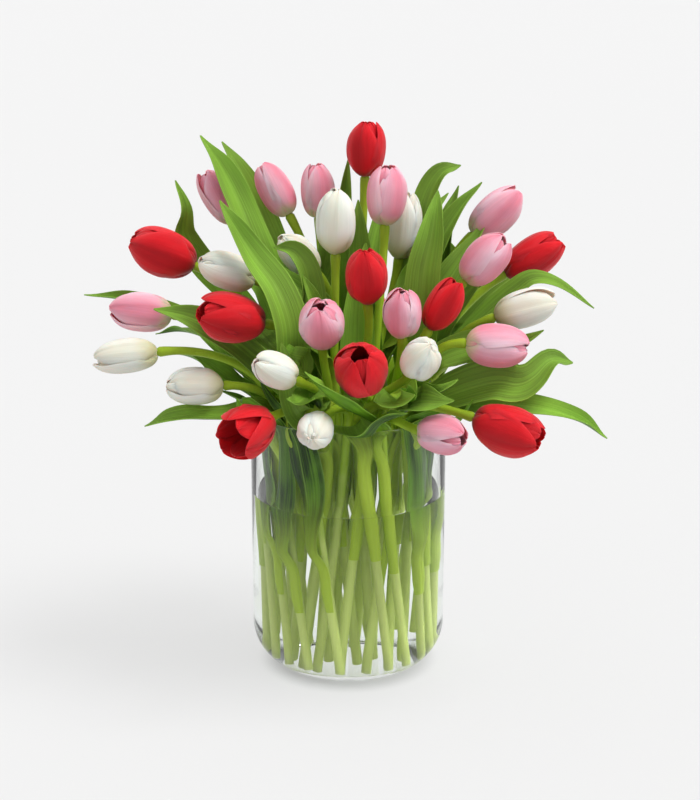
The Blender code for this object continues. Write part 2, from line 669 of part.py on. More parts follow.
def main():
    """Plants the tulips and leaves, then builds every piece."""
    for old in list(bpy.data.objects):
        bpy.data.objects.remove(old, do_unlink=True)
    tulips = plant_tulips()
    leaves = plant_leaves(tulips)
    build_vase()
    build_water(tulips, leaves)
    finishes = {name: material(f"{name}_tulip", colour, 0.5) for name, colour in COLOURS.items()}
    for tulip in tulips:
        build_tulip(tulip, finishes[tulip.colour])
    green = material("leaf_green", (0.08, 0.22, 0.03), 0.45)
    for leaf in leaves:
        build_leaf(leaf, green)


if __name__ == "__main__":
    main()
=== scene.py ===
"""Tulips in a clear glass vase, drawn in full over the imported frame.

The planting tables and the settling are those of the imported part, so every stem,
bloom and leaf lies where its CAD node lies. Each node is replaced by a fine piece:
stems are tubes, blooms are six petals round a pistil and stamens, leaves are
curved blades with ruffled edges, and the vase and its water are turned. The origin
is the middle of the vase's foot, +Z is up and -Y is the front; lengths are metres.
"""

import logging
import math
from collections.abc import Callable
from dataclasses import dataclass, field
from enum import Enum
from functools import partial

import bpy
import numpy as np
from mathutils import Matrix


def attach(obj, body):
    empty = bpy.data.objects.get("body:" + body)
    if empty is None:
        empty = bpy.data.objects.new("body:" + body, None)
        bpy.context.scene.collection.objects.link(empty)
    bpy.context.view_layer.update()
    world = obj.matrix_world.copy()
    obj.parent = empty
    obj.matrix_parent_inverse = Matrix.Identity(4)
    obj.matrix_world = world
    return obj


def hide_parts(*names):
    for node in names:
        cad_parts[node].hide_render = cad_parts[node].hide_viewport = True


Array = np.ndarray
Material, Object = bpy.types.Material, bpy.types.Object
Tree, Socket = bpy.types.NodeTree, bpy.types.NodeSocket
Value = Socket | float | tuple  # a number, colour or vector, or another node's output
Adder = Callable[..., Socket]  # add(), with its tree already given

log = logging.getLogger("tulips")
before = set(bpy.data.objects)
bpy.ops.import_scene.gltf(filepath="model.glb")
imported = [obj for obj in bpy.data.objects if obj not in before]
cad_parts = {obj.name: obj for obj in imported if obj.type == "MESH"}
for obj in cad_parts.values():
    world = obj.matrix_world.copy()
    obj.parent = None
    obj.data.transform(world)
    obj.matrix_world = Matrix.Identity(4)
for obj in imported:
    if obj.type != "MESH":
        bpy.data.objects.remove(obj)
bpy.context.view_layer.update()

# ---- driving dimensions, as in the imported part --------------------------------
MM = 0.001
VASE_RADIUS = 0.080
VASE_HEIGHT = 0.222
VASE_WALL = 0.0035
VASE_FLOOR = 0.008  # thickness of the glass under the water
CORNER_RADIUS = 0.036  # rounding between foot and side, outside
VASE_SIDES = 32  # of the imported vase, which the stems keep clear of
WATER_LEVEL = 0.150
GAP = 0.0003  # clearance between pieces that touch
STEM_RADIUS = 0.0037
STEM_BOW = 0.002  # how far a stem bows sideways inside the vase
BOW_TURN = 140  # degrees from the way one stem bows to the way the next does
BLOOM_PULL = 1.1  # how strongly a stem's end follows its bloom's axis
FOOT_LIFT = 0.0005  # more clearance where the floor curves up
SHEATH_RADIUS = 0.0052  # middle of the leaf's thickness, where it clasps the stem
SHEATH_HALF_ANGLE = math.radians(100)
SHEATH_TOP = 0.185  # height at which a leaf starts to leave its stem
LEAF_THICKNESS = 0.0012
BLADE_HALF_ANGLE = math.radians(24)  # curl of the open blade
STEM_RINGS = ((15, 0.063, 0.057, 26.0), (11, 0.042, 0.039, -36.0), (7, 0.020, 0.019, 48.0))
OWN_ANGLE_SHARE = 0.4  # how far a stem stands under its own bloom, not in an even ring
LOW_STEPS = 20  # points along a stem inside the vase
HIGH_STEPS = 36  # points along a stem above the mouth
SHEATH_STEPS = 2  # rows of a leaf along its stem
BLADE_STEPS = 8  # rows of a leaf above that
LEAF_FINE = 4  # parts that each step is cut into while leaves settle
ROOM = 0.0019  # clearance that settling aims for
GLASS_ROOM = 0.0006  # more of it against the glass
SETTLE_ROUNDS = 190
SPRAY_ROUNDS = 90
SETTLE_SHARE = 0.6  # share of its push that a piece moves in one round
AGAINST = -0.2  # a push this much against the main one is turned to follow it
AGAINST_LIMIT = 3  # and is at most this many times the distance wanted
SHEATH_DROP = 0.055  # how far sheaths reach down at most below those of the CAD leaves
LEAST_DROP = 0.3  # share of that which every one reaches down
OVER_RIM = 0.012  # how near the wall something outside it is still lifted over the rim
TINY = 1e-9  # keeps a length that is divided by from being nothing
GOLDEN = 0.618  # steps by it, without their whole part, spread evenly over 0 to 1
SHADE_STEP = 0.37  # from the shade of one stem to that of the next
BLOOM_SEED, BLADE_SEED = 100, 500  # first seeds of what chance decides in blooms and blades
PATTERN_SHIFT = (37.0, 91.0, 13.0)  # moves each part's noise to a place of its own


class Hue(Enum):
    """Colours of the tulips."""

    RED = "red"
    PINK = "pink"
    WHITE = "white"


# ---- planting tables, in millimetres and degrees ------------------------------
# colour, middle of the bloom, lean from upright, heading (0 is +X, 90 is +Y),
# bloom length, bloom radius
TULIPS = (
    (Hue.RED, (15, 45, 425), 3, 0, 48, 17),
    (Hue.PINK, (-25, 50, 390), 2, 180, 46, 14),
    (Hue.PINK, (-60, 55, 390), 30, 165, 50, 15),
    (Hue.PINK, (-105, 50, 385), 33, 170, 52, 15),
    (Hue.PINK, (30, 0, 395), 2, 0, 51, 17),
    (Hue.WHITE, (-10, -30, 380), 2, 270, 56, 17),
    (Hue.WHITE, (45, 30, 365), 8, 0, 56, 15),
    (Hue.PINK, (120, 30, 375), 48, 8, 54, 17),
    (Hue.WHITE, (-40, 10, 345), 42, 190, 48, 15),
    (Hue.RED, (-150, 20, 345), 66, 180, 58, 19),
    (Hue.WHITE, (-95, -30, 340), 70, 190, 50, 16),
    (Hue.PINK, (105, -40, 350), 42, 350, 52, 18),
    (Hue.RED, (150, 25, 340), 57, 0, 56, 17),
    (Hue.RED, (20, -65, 340), 12, 260, 50, 18),
    (Hue.PINK, (40, -75, 320), 15, 270, 46, 17),
    (Hue.RED, (70, -60, 320), 28, 355, 48, 15),
    (Hue.WHITE, (140, -30, 310), 73, 0, 54, 16),
    (Hue.PINK, (-165, -20, 305), 84, 180, 53, 17),
    (Hue.RED, (-90, -60, 310), 75, 200, 58, 20),
    (Hue.PINK, (-20, -80, 310), 32, 270, 48, 19),
    (Hue.PINK, (115, -70, 290), 93, 355, 50, 18),
    (Hue.WHITE, (55, -105, 290), 45, 300, 46, 17),
    (Hue.WHITE, (-175, -45, 275), 96, 186, 54, 15),
    (Hue.RED, (10, -105, 280), 38, 265, 50, 22),
    (Hue.WHITE, (-55, -105, 280), 60, 215, 48, 16),
    (Hue.WHITE, (-120, -60, 255), 88, 190, 48, 16),
    (Hue.RED, (-75, -110, 235), 98, 230, 52, 23),
    (Hue.WHITE, (-25, -115, 235), 92, 262, 46, 16),
    (Hue.PINK, (75, -105, 230), 90, 325, 46, 17),
    (Hue.RED, (120, -100, 230), 104, 340, 60, 20),
    (Hue.WHITE, (-55, 110, 285), 62, 118, 50, 16),
    (Hue.RED, (15, 125, 275), 66, 88, 52, 18),
    (Hue.PINK, (80, 100, 280), 60, 52, 50, 17),
)

# where its stem stands in the mouth, height where it starts, point it bends
# towards, tip, greatest width, way its upper side faces
LEAVES = (
    ((-30, 15), 130, (-80, 25, 385), (-120, 50, 435), 34, (6, -8, 2)),
    ((-40, 45), 140, (-85, 70, 395), (-105, 85, 425), 32, (7, -7, 3)),
    ((-55, 25), 130, (-95, 25, 340), (-140, 40, 400), 28, (6, -8, 2)),
    ((-20, -60), 115, (-65, -60, 345), (-100, -25, 395), 32, (5, -9, 1)),
    ((-8, -25), 130, (-18, -40, 372), (-58, -35, 360), 26, (4, -8, 3)),
    ((-41, -10), 140, (-135, 20, 305), (-215, 18, 310), 19, (2, -5, 8)),
    ((-30, -30), 125, (-90, -42, 305), (-155, -30, 308), 34, (2, -8, 6)),
    ((-61, -14), 140, (-105, -22, 278), (-152, -8, 266), 20, (0, -4, 9)),
    ((-54, -33), 140, (-115, -82, 246), (-160, -60, 222), 20, (0, -5, 8)),
    ((40, 25), 130, (50, 40, 415), (92, 55, 410), 30, (-6, -8, 2)),
    ((45, -20), 125, (68, -40, 370), (70, -20, 402), 30, (-2, -9, 1)),
    ((17, 10), 140, (75, 25, 365), (108, 32, 400), 24, (-6, -8, 2)),
    ((60, 30), 140, (125, 60, 325), (175, 68, 328), 22, (-2, -6, 8)),
    ((60, -10), 140, (115, -5, 380), (198, 0, 303), 22, (-2, -5, 8)),
    ((45, -50), 125, (125, -80, 310), (176, -50, 271), 38, (-3, -8, 6)),
    ((60, -40), 140, (150, -85, 262), (204, -60, 212), 26, (0, -5, 8)),
    ((0, 40), 140, (-5, 55, 370), (0, 60, 415), 18, (0, -9, 1)),
    ((15, 0), 130, (8, 10, 350), (8, 18, 388), 24, (0, -9, 1)),
    ((30, -50), 140, (-5, -128, 248), (-33, -110, 280), 22, (4, 1, 9)),
    ((5, -60), 140, (8, -115, 236), (45, -112, 248), 24, (-3, 1, 9)),
    ((-22, 40), 130, (-58, 98, 320), (-100, 138, 335), 30, (4, -4, 8)),
    ((0, 62), 140, (-10, 120, 300), (-15, 175, 290), 30, (0, -3, 9)),
    ((20, 38), 130, (48, 78, 340), (85, 108, 378), 28, (-3, -6, 6)),
    ((4, 19), 140, (22, 55, 345), (35, 92, 388), 24, (-2, -6, 6)),
    ((-63, 5), 140, (-108, 62, 280), (-165, 86, 260), 24, (4, -2, 8)),
)


# Leaves that have no CAD node: number of the tulip whose stem they clasp, height where
# they start, height where they leave it, point they bend towards, tip, width, facing
SPRAYS = (
    (2, 120, 185, (-22, 15, 330), (-24, 22, 372), 30, (2, -9, 1)),
    (9, 115, 185, (-55, -5, 300), (-80, 0, 345), 36, (4, -8, 2)),
    (13, 120, 185, (72, 30, 350), (90, 45, 395), 22, (-4, -8, 2)),
    (14, 115, 185, (6, -18, 310), (14, -8, 358), 28, (-1, -9, 1)),
    (16, 110, 185, (78, -18, 290), (108, -22, 338), 36, (-4, -8, 3)),
    (20, 105, 185, (-30, -62, 250), (-52, -68, 292), 28, (3, -8, 3)),
    (24, 105, 185, (52, -92, 238), (84, -88, 268), 28, (-3, -5, 8)),
    (7, 235, 255, (48, 20, 330), (62, 38, 376), 24, (-2, -9, 1)),
    (12, 235, 255, (88, 8, 330), (112, 20, 372), 24, (-4, -8, 2)),
    (6, 230, 250, (-30, -30, 300), (-48, -30, 338), 24, (3, -8, 2)),
    (21, 232, 248, (90, -50, 285), (135, -40, 300), 28, (-2, -7, 6)),
    (11, 235, 255, (-70, 10, 300), (-100, 20, 335), 26, (4, -8, 3)),
    (25, 232, 248, (-62, -40, 290), (-95, -20, 318), 28, (3, -8, 4)),
    (27, 66, 102, (-44, -66, 200), (-66, -70, 262), 28, (4, 7, 1)),
    (17, 236, 252, (100, -45, 262), (150, -60, 300), 30, (-2, -6, 8)),
    (13, 236, 252, (95, -5, 262), (150, -20, 285), 34, (-1, -6, 8)),
    (24, 228, 240, (32, -98, 240), (50, -118, 264), 34, (-2, -6, 7)),
    (20, 228, 242, (-30, -90, 242), (-50, -108, 276), 32, (2, -6, 7)),
    (22, 230, 244, (52, -95, 242), (80, -112, 258), 32, (-2, -5, 8)),
    (30, 70, 104, (64, -40, 190), (90, -60, 256), 26, (-6, 5, 2)),
    (23, 70, 104, (-70, -16, 190), (-98, -22, 250), 26, (7, 2, 2)),
    (17, 76, 110, (72, -4, 190), (104, 0, 262), 26, (-7, 2, 2)),
    (26, 60, 96, (-60, -42, 180), (-86, -60, 244), 24, (6, 5, 2)),
)


WIDER = {19: 1.5, 20: 1.5}  # leaves drawn wider than their CAD nodes, and how much
LOW_START = 90  # a sheath that starts lower than this leaves no room for another to drop
LOW_CLASPED = {row[0] for row in SPRAYS if row[1] < LOW_START}  # tulips that have one


# ---- curves -------------------------------------------------------------------
def unit(vectors: Array) -> Array:
    """Vectors divided by their lengths."""
    return vectors / np.linalg.norm(vectors, axis=-1, keepdims=True)


def direction(lean: float, heading: float) -> Array:
    """Unit vector that leans from +Z towards a heading, both in degrees."""
    a, h = math.radians(lean), math.radians(heading)
    return np.array([math.sin(a) * math.cos(h), math.sin(a) * math.sin(h), math.cos(a)])


def hermite(start: Array, end: Array, start_pull: Array, end_pull: Array, steps: int) -> Array:
    """Cubic from start to end that leaves and arrives along two pulls.

    Args:
        start: first point.
        end: last point.
        start_pull: way it leaves, as long as it is strong.
        end_pull: way it arrives, as long as it is strong.
        steps: how many stretches it has.

    Returns:
        Its points, one more than the stretches.
    """
    t = np.linspace(0.0, 1.0, steps + 1)[:, None]
    return (
        (2 * t**3 - 3 * t**2 + 1) * start
        + (t**3 - 2 * t**2 + t) * start_pull
        + (3 * t**2 - 2 * t**3) * end
        + (t**3 - t**2) * end_pull
    )


def bezier(c0: Array, c1: Array, c2: Array, c3: Array, steps: int) -> Array:
    """Cubic Bezier curve without its first point.

    Args:
        c0: first control point.
        c1: second one.
        c2: third one.
        c3: last one.
        steps: how many points are wanted.

    Returns:
        The points.
    """
    t = np.linspace(0.0, 1.0, steps + 1)[1:, None]
    s = 1.0 - t
    return s**3 * c0 + 3 * s**2 * t * c1 + 3 * s * t**2 * c2 + t**3 * c3


def smooth_step(values: Array, low: float, high: float) -> Array:
    """0 below low, 1 above high, and an S between them."""
    t = np.clip((values - low) / (high - low), 0.0, 1.0)
    return t * t * (3.0 - 2.0 * t)


def spread(pushes: Array, passes: int = 5) -> Array:
    """Evens out a row of pushes, so that what they move stays a smooth curve.

    Args:
        pushes: one push for each row.
        passes: how many times each is mixed with its neighbours, a quarter of either.

    Returns:
        The evened pushes.
    """
    for _ in range(passes):
        padded = np.concatenate([pushes[:1], pushes, pushes[-1:]])
        pushes = 0.25 * padded[:-2] + 0.5 * padded[1:-1] + 0.25 * padded[2:]
    return pushes


def through(points: Array, places: Array) -> Array:
    """Smooth curve through points, read at fractional places between them.

    Between two points it is the cubic whose slopes at both ends are half the step
    from the point before to the point after (Catmull-Rom).

    Args:
        points: rows of values, one row per whole place.
        places: where to read, from 0 to the last row's number.

    Returns:
        One row per place.
    """
    ends = (2 * points[:1] - points[1:2], points, 2 * points[-1:] - points[-2:-1])
    padded = np.concatenate(ends)
    first = np.clip(places.astype(int), 0, len(points) - 2)
    t = (places - first).reshape((-1,) + (1,) * (points.ndim - 1))
    a, b, c, d = (padded[first + k] for k in range(4))
    return b + 0.5 * t * (c - a + t * (2 * a - 5 * b + 4 * c - d + t * (3 * (b - c) + d - a)))


def floor_height(distance: float) -> float:
    """Height of the vase's floor, which curves up to the wall as a quarter circle.

    Args:
        distance: from the vase's axis.

    Returns:
        The height.
    """
    radius = CORNER_RADIUS - VASE_WALL
    out = max(0.0, distance - (VASE_RADIUS - CORNER_RADIUS))
    return VASE_FLOOR + radius - math.sqrt(radius**2 - out**2)


def foot_height(point: Array) -> float:
    """Height at which a stem's cut end rests on the floor of the vase.

    Args:
        point: middle of the cut end, whose own height isn't read.

    Returns:
        The height.
    """
    edge = math.hypot(point[0], point[1]) + STEM_RADIUS
    curved = edge > VASE_RADIUS - CORNER_RADIUS
    return floor_height(edge) + GAP + (FOOT_LIFT if curved else 0.0)


# ---- planting -----------------------------------------------------------------
@dataclass
class Tulip:
    """One tulip as it stands in the vase: the line of its stem, and its bloom's place."""

    number: int
    hue: Hue
    middle_mm: tuple[float, float, float]
    lean: float
    heading: float
    length_mm: float
    radius_mm: float
    points: Array = field(default_factory=lambda: np.zeros((0, 3)))

    CURVE_ROOM = 0.0006  # a bent stem strays this far from its straight stretches
    CLASP_ROOM = 0.0013  # room inside the vase for the leaf that clasps the stem
    MOUTH_FADE = 0.02  # height above the mouth over which that room goes
    REST_SHARE = 0.3  # share of the pushes on a bloom that adds to its deepest one
    # Balls along a bloom: share of its length, share of its radius
    BALLS = ((0.12, 0.74), (0.33, 1.02), (0.55, 1.02), (0.76, 0.92), (0.94, 0.60))

    def __post_init__(self) -> None:
        """Works out the bloom's axis and its sizes in metres."""
        self.axis = direction(self.lean, self.heading)
        self.length = self.length_mm * MM
        self.radius = self.radius_mm * MM
        self.middle = np.array(self.middle_mm) * MM

    @property
    def base(self) -> Array:
        """Point where the stem ends in the bloom."""
        return self.points[-1]

    def grow(self, foot: Array, neck: Array) -> None:
        """Draws the stem from its foot, through the mouth, to the bloom.

        Args:
            foot: where the cut end stands on the vase's floor.
            neck: where the stem passes the mouth.
        """
        t = np.linspace(0.0, 1.0, LOW_STEPS + 1)[:, None]
        rise = unit(neck - foot)
        side = unit(np.cross(rise, direction(90, BOW_TURN * self.number)))
        low = foot + (neck - foot) * t + side * STEM_BOW * np.sin(math.pi * t)
        base = self.middle - self.axis * self.length / 2
        reach = np.linalg.norm(base - neck)
        high = hermite(neck, base, rise * reach, self.axis * reach * BLOOM_PULL, HIGH_STEPS)
        self.points = np.concatenate([low, high[1:]])

    def balls(self) -> tuple[Array, Array]:
        """Balls that stand for the tulip while it settles.

        Returns:
            Their centres and their radii, up the stem and then up the bloom.
        """
        heights = np.array([h for h, _ in self.BALLS])[:, None]
        bloom = self.base + self.axis * heights * self.length
        roomy = smooth_step(-self.points[:, 2], -VASE_HEIGHT - self.MOUTH_FADE, -VASE_HEIGHT)
        stem = STEM_RADIUS + self.CURVE_ROOM + self.CLASP_ROOM * roomy
        shares = np.array([s for _, s in self.BALLS])
        return np.concatenate([self.points, bloom]), np.concatenate([stem, shares * self.radius])

    def shift(self, pushes: Array) -> None:
        """Moves the stem by smoothed pushes and carries the bloom whole.

        Args:
            pushes: one for each ball.
        """
        stem, bloom = pushes[: len(self.points)], pushes[len(self.points) :]
        stem = spread(stem)
        deepest = bloom[np.abs(bloom).sum(axis=1).argmax()]
        end = deepest + self.REST_SHARE * bloom.sum(axis=0)
        ramp = np.linspace(0.0, 1.0, HIGH_STEPS + 1)[1:, None] ** 2
        stem[-HIGH_STEPS:] += ramp * (end - stem[-1])
        stem[0, 2] = 0.0
        self.points = self.points + stem
        self.points[0, 2] = foot_height(self.points[0])


@dataclass
class Leaf:
    """One leaf as it lies: the line of its midrib, its width, curl and facing."""

    number: int
    root_mm: tuple[float, float]
    start_mm: float
    bend_mm: tuple[float, float, float]
    tip_mm: tuple[float, float, float]
    width_mm: float
    face_way: tuple[float, float, float]

    ACROSS = 7  # balls across the leaf while it settles
    PINCH = 0.01  # how fast a row narrows while it is still pushed
    NARROWEST = 0.38  # share of the width that a row keeps
    OPENS = (0.08, 0.50)  # shares of the blade between which it widens
    FLATTENS = (0.0, 0.48)  # and between which it uncurls
    TURNS = (0.08, 0.55)  # and between which it turns to its own facing
    TAPER_START, TAPER_SPAN, TAPER_DEPTH, TAPER_POWER = 0.45, 0.55, 0.96, 2.1
    RISE_PULL = 0.35  # how strongly the blade first follows its stem
    BALL_ROOM = 0.0006  # more clearance round the balls, for what lies between them
    DEEPEST_SHARE = 0.6  # share of a row's deepest push that adds to its mean one
    REGAINS = 0.35  # a settled row is its narrowing to this power, so it regains width
    REGAINED = (0.1, 0.4)  # shares of the blade between which that comes in
    settled = False

    def __post_init__(self) -> None:
        """Turns the table's row into metres."""
        self.root = np.array(self.root_mm) * MM
        self.start = self.start_mm * MM
        self.bend = np.array(self.bend_mm) * MM
        self.tip = np.array(self.tip_mm) * MM
        self.width = self.width_mm * MM
        self.face = unit(np.array(self.face_way, float))
        self.clasped = self.ACROSS * (SHEATH_STEPS * LEAF_FINE + 2)  # balls on its own stem

    def grow(self, tulip: Tulip, top: float = SHEATH_TOP, last: int = LOW_STEPS + 1) -> None:
        """Lays the leaf up its tulip's stem and then out to its tip.

        Args:
            tulip: the tulip whose stem it clasps.
            top: height at which it leaves the stem.
            last: how many of the stem's points it may clasp.
        """
        self.tulip = tulip
        self.top = top
        self.stem = tulip.points[:last]
        core = self.core(self.start)
        out = self.tip - core[-1]
        out[2] = 0.0
        self.out = unit(out)
        rise = unit(core[-1] - core[0])
        self.inward = unit(rise * self.out.dot(rise) - self.out)
        clasp = core - self.inward * SHEATH_RADIUS
        reach = np.linalg.norm(self.tip - clasp[-1])
        pulled = clasp[-1] + rise * reach * self.RISE_PULL
        blade = bezier(clasp[-1], pulled, self.bend, self.tip, BLADE_STEPS)
        self.points = np.concatenate([clasp, blade])
        self.narrowed = np.ones(len(self.points))

    def core(self, start: float) -> Array:
        """Points of the stem at the rows that clasp it.

        Args:
            start: height of the lowest row.

        Returns:
            One point per row.
        """
        heights = np.linspace(start, self.top, SHEATH_STEPS + 1)
        stem = self.stem.T
        return np.stack([np.interp(heights, stem[2], stem[k]) for k in range(3)], axis=1)

    def lower(self, drop: float) -> None:
        """Draws the sheath's foot down its stem."""
        self.points[: SHEATH_STEPS + 1] = self.core(self.start - drop) - self.inward * SHEATH_RADIUS

    def sections(self, points: Array, rows: Array) -> tuple[Array, Array, Array, Array]:
        """Width, half angle of the curl, and directions of the rows of the leaf.

        Args:
            points: the midrib at the rows.
            rows: the rows' numbers, whole or fractional.

        Returns:
            Widths, half angles, the way the upper side faces, and the way across.
        """
        b = np.clip((rows - SHEATH_STEPS) / BLADE_STEPS, 0.0, 1.0)
        clasp = 2 * SHEATH_HALF_ANGLE * SHEATH_RADIUS
        width = clasp + (self.width - clasp) * smooth_step(b, *self.OPENS)
        taper = np.clip((b - self.TAPER_START) / self.TAPER_SPAN, 0.0, 1.0)
        width = width * (1.0 - self.TAPER_DEPTH * taper**self.TAPER_POWER)
        narrowed = np.interp(rows, np.arange(len(self.narrowed)), self.narrowed)
        if self.settled:
            wider = WIDER.get(self.number, 1.0)
            regained = wider * narrowed**self.REGAINS
            narrowed = 1.0 - (1.0 - regained) * smooth_step(b, *self.REGAINED)
        width = width * narrowed
        flat = smooth_step(b, *self.FLATTENS)
        half = SHEATH_HALF_ANGLE * (1.0 - flat) + BLADE_HALF_ANGLE * flat
        along = unit(np.gradient(points, axis=0))
        turn = smooth_step(b, *self.TURNS)[:, None]
        facing = self.inward * (1.0 - turn) + self.face * turn
        facing = unit(facing - (facing * along).sum(axis=1, keepdims=True) * along)
        return width, half, facing, np.cross(along, facing)

    def surface(self, points: Array, rows: Array, across: Array) -> Array:
        """Grid of points over the leaf.

        Each row is an arc through the midrib: its middle of curvature lies on the
        upper side, at the width divided by twice the half angle.

        Args:
            points: the midrib at the rows.
            rows: the rows' numbers, whole or fractional.
            across: places across the leaf, from -1 to 1.

        Returns:
            Points in an array of rows by places by three.
        """
        width, half, facing, side = self.sections(points, rows)
        radius = (width / (2 * half))[:, None, None]
        angle = (half[:, None] * across[None, :])[:, :, None]
        outward = np.sin(angle) * side[:, None] - np.cos(angle) * facing[:, None]
        return points[:, None] + radius * facing[:, None] + outward * radius

    def weights(self) -> Array:
        """Shares of the rows in each fine row between them.

        Returns:
            Shares in an array of fine rows by rows.
        """
        rows = len(self.points)
        fine = np.linspace(0.0, rows - 1.0, (rows - 1) * LEAF_FINE + 1)
        return np.maximum(1.0 - np.abs(fine[:, None] - np.arange(rows)[None, :]), 0.0)

    def balls(self) -> tuple[Array, Array]:
        """Small balls over the leaf that stand for it while it settles.

        Returns:
            Their centres, row by row, and their radii.
        """
        rows = np.arange(len(self.points))
        coarse = self.surface(self.points, rows, np.linspace(-1.0, 1.0, self.ACROSS))
        points = np.einsum("fr,rak->fak", self.weights(), coarse).reshape(-1, 3)
        return points, np.full(len(points), LEAF_THICKNESS / 2 + self.BALL_ROOM)

    def shift(self, pushes: Array) -> None:
        """Moves the blade by smoothed pushes; the sheath stays on its stem.

        Args:
            pushes: one for each ball.
        """
        fine = pushes.reshape(-1, self.ACROSS, 3)
        deepest = np.abs(fine).sum(axis=2).argmax(axis=1)
        move = fine[np.arange(len(fine)), deepest] * self.DEEPEST_SHARE + fine.mean(axis=1)
        weights = self.weights()
        move = (weights.T @ move) / weights.sum(axis=0)[:, None]
        pinch = np.clip(np.linalg.norm(move, axis=1) / MM, 0.0, 1.0)
        pinch[: SHEATH_STEPS + 1] = 0.0
        self.narrowed = np.maximum(self.narrowed * (1.0 - self.PINCH * pinch), self.NARROWEST)
        move = spread(move, 1)
        move[: SHEATH_STEPS + 1] = 0.0
        self.points = self.points + move


class Spray(Leaf):
    """A leaf with no CAD node, which keeps more of its width between its neighbours."""

    NARROWEST = 0.65
    OPENS = (-0.05, 0.36)
    FLATTENS = (-0.05, 0.30)


def separate(a: Array, a_radii: Array, b: Array, b_radii: Array) -> tuple[Array, Array]:
    """Pushes that part two sets of balls, each ball moved off its deepest partner.

    Where two pieces cross, some balls would go one way and some the other, so all
    follow the side that most of the depth is on.

    Args:
        a: centres of the first set.
        a_radii: their radii.
        b: centres of the second set.
        b_radii: their radii.

    Returns:
        One push for each ball of the first set and of the second.
    """
    push_a, push_b = np.zeros_like(a), np.zeros_like(b)
    reach = a_radii.max() + b_radii.max() + ROOM
    low = np.maximum(a.min(axis=0), b.min(axis=0)) - reach
    high = np.minimum(a.max(axis=0), b.max(axis=0)) + reach
    pick_a = np.nonzero(((a > low) & (a < high)).all(axis=1))[0]
    pick_b = np.nonzero(((b > low) & (b < high)).all(axis=1))[0]
    if not len(pick_a) or not len(pick_b):
        return push_a, push_b
    gaps = a[pick_a, None, :] - b[None, pick_b, :]
    distance = np.sqrt((gaps**2).sum(axis=2)) + TINY
    wanted = a_radii[pick_a, None] + b_radii[None, pick_b] + ROOM
    depth = np.maximum(wanted - distance, 0.0)
    if depth.max() <= 0:
        return push_a, push_b
    way = gaps / distance[:, :, None]
    main = (way * depth[:, :, None]).sum(axis=(0, 1))
    main = main / (np.linalg.norm(main) + TINY)
    against = (way @ main < AGAINST) & (depth > 0)
    way = np.where(against[:, :, None], main, way)
    depth = np.where(against, np.minimum(wanted + distance, AGAINST_LIMIT * wanted), depth)
    way = way * depth[:, :, None] / 2
    push_a[pick_a] = way[np.arange(len(pick_a)), depth.argmax(axis=1)]
    push_b[pick_b] = -way[depth.argmax(axis=0), np.arange(len(pick_b))]
    return push_a, push_b


def vase_pushes(points: Array, radii: Array) -> Array:
    """Pushes that keep balls clear of the glass, inside the vase or over its rim.

    Args:
        points: centres of the balls.
        radii: their radii.

    Returns:
        One push for each ball.
    """
    distance = np.hypot(points[:, 0], points[:, 1]) + TINY
    radii = radii + GLASS_ROOM
    out = points[:, :2] / distance[:, None]
    middle = VASE_RADIUS - VASE_WALL / 2
    rim_z = VASE_HEIGHT - VASE_WALL / 2
    below = points[:, 2] < rim_z
    inside = distance < middle
    pushes = np.zeros_like(points)
    hollow = (VASE_RADIUS - VASE_WALL) * math.cos(math.pi / VASE_SIDES)
    inward = np.maximum(distance + radii + ROOM - hollow, 0.0)
    pushes[:, :2] -= out * np.where(below & inside, inward, 0.0)[:, None]
    lifted = below & ~inside & (distance < VASE_RADIUS + OVER_RIM)
    pushes[:, 2] += np.where(lifted, VASE_HEIGHT + radii + ROOM - points[:, 2], 0.0)
    rim_distance = np.hypot(distance - middle, points[:, 2] - rim_z) + TINY
    depth = np.maximum(VASE_WALL / 2 + radii + ROOM - rim_distance, 0.0)
    depth = np.where(below, 0.0, depth)
    pushes[:, 2] += np.where(inside, 0.0, depth)
    pushes[:, :2] -= out * np.where(inside, depth, 0.0)[:, None]
    return pushes


def near_pairs(clouds: list[Array], reach: float) -> list[tuple[int, int]]:
    """Pairs of point clouds whose boxes come within reach of each other.

    Args:
        clouds: the clouds.
        reach: how near the boxes come.

    Returns:
        Numbers of the two clouds of each pair, the lower first.
    """
    low = np.array([c.min(axis=0) for c in clouds]) - reach / 2
    high = np.array([c.max(axis=0) for c in clouds]) + reach / 2
    meet = (low[:, None] < high[None]).all(axis=2) & (low[None] < high[:, None]).all(axis=2)
    return [(i, j) for i, j in zip(*np.nonzero(meet)) if i < j]


def settle(movers: list, fixed: list, rounds: int = SETTLE_ROUNDS) -> None:
    """Moves pieces apart, a little at a time, for a set number of rounds.

    Args:
        movers: tulips or leaves that may move.
        fixed: tulips or leaves that stay where they are.
        rounds: how many times every touching pair is parted.
    """
    pieces = movers + fixed
    still = [piece.balls() for piece in fixed]
    for _ in range(rounds):
        balls = [piece.balls() for piece in movers] + still
        pushes = [vase_pushes(points, radii) for points, radii in balls]
        for i, j in near_pairs([points for points, _ in balls], 2 * ROOM):
            if i >= len(movers):
                continue
            push_i, push_j = separate(*balls[i], *balls[j])
            if getattr(movers[i], "tulip", None) is pieces[j]:
                push_i[: movers[i].clasped] = 0.0
            share = 2.0 if j >= len(movers) else 1.0
            pushes[i] += push_i * share
            pushes[j] += push_j
        for piece, push in zip(movers, pushes):
            piece.shift(push * SETTLE_SHARE)


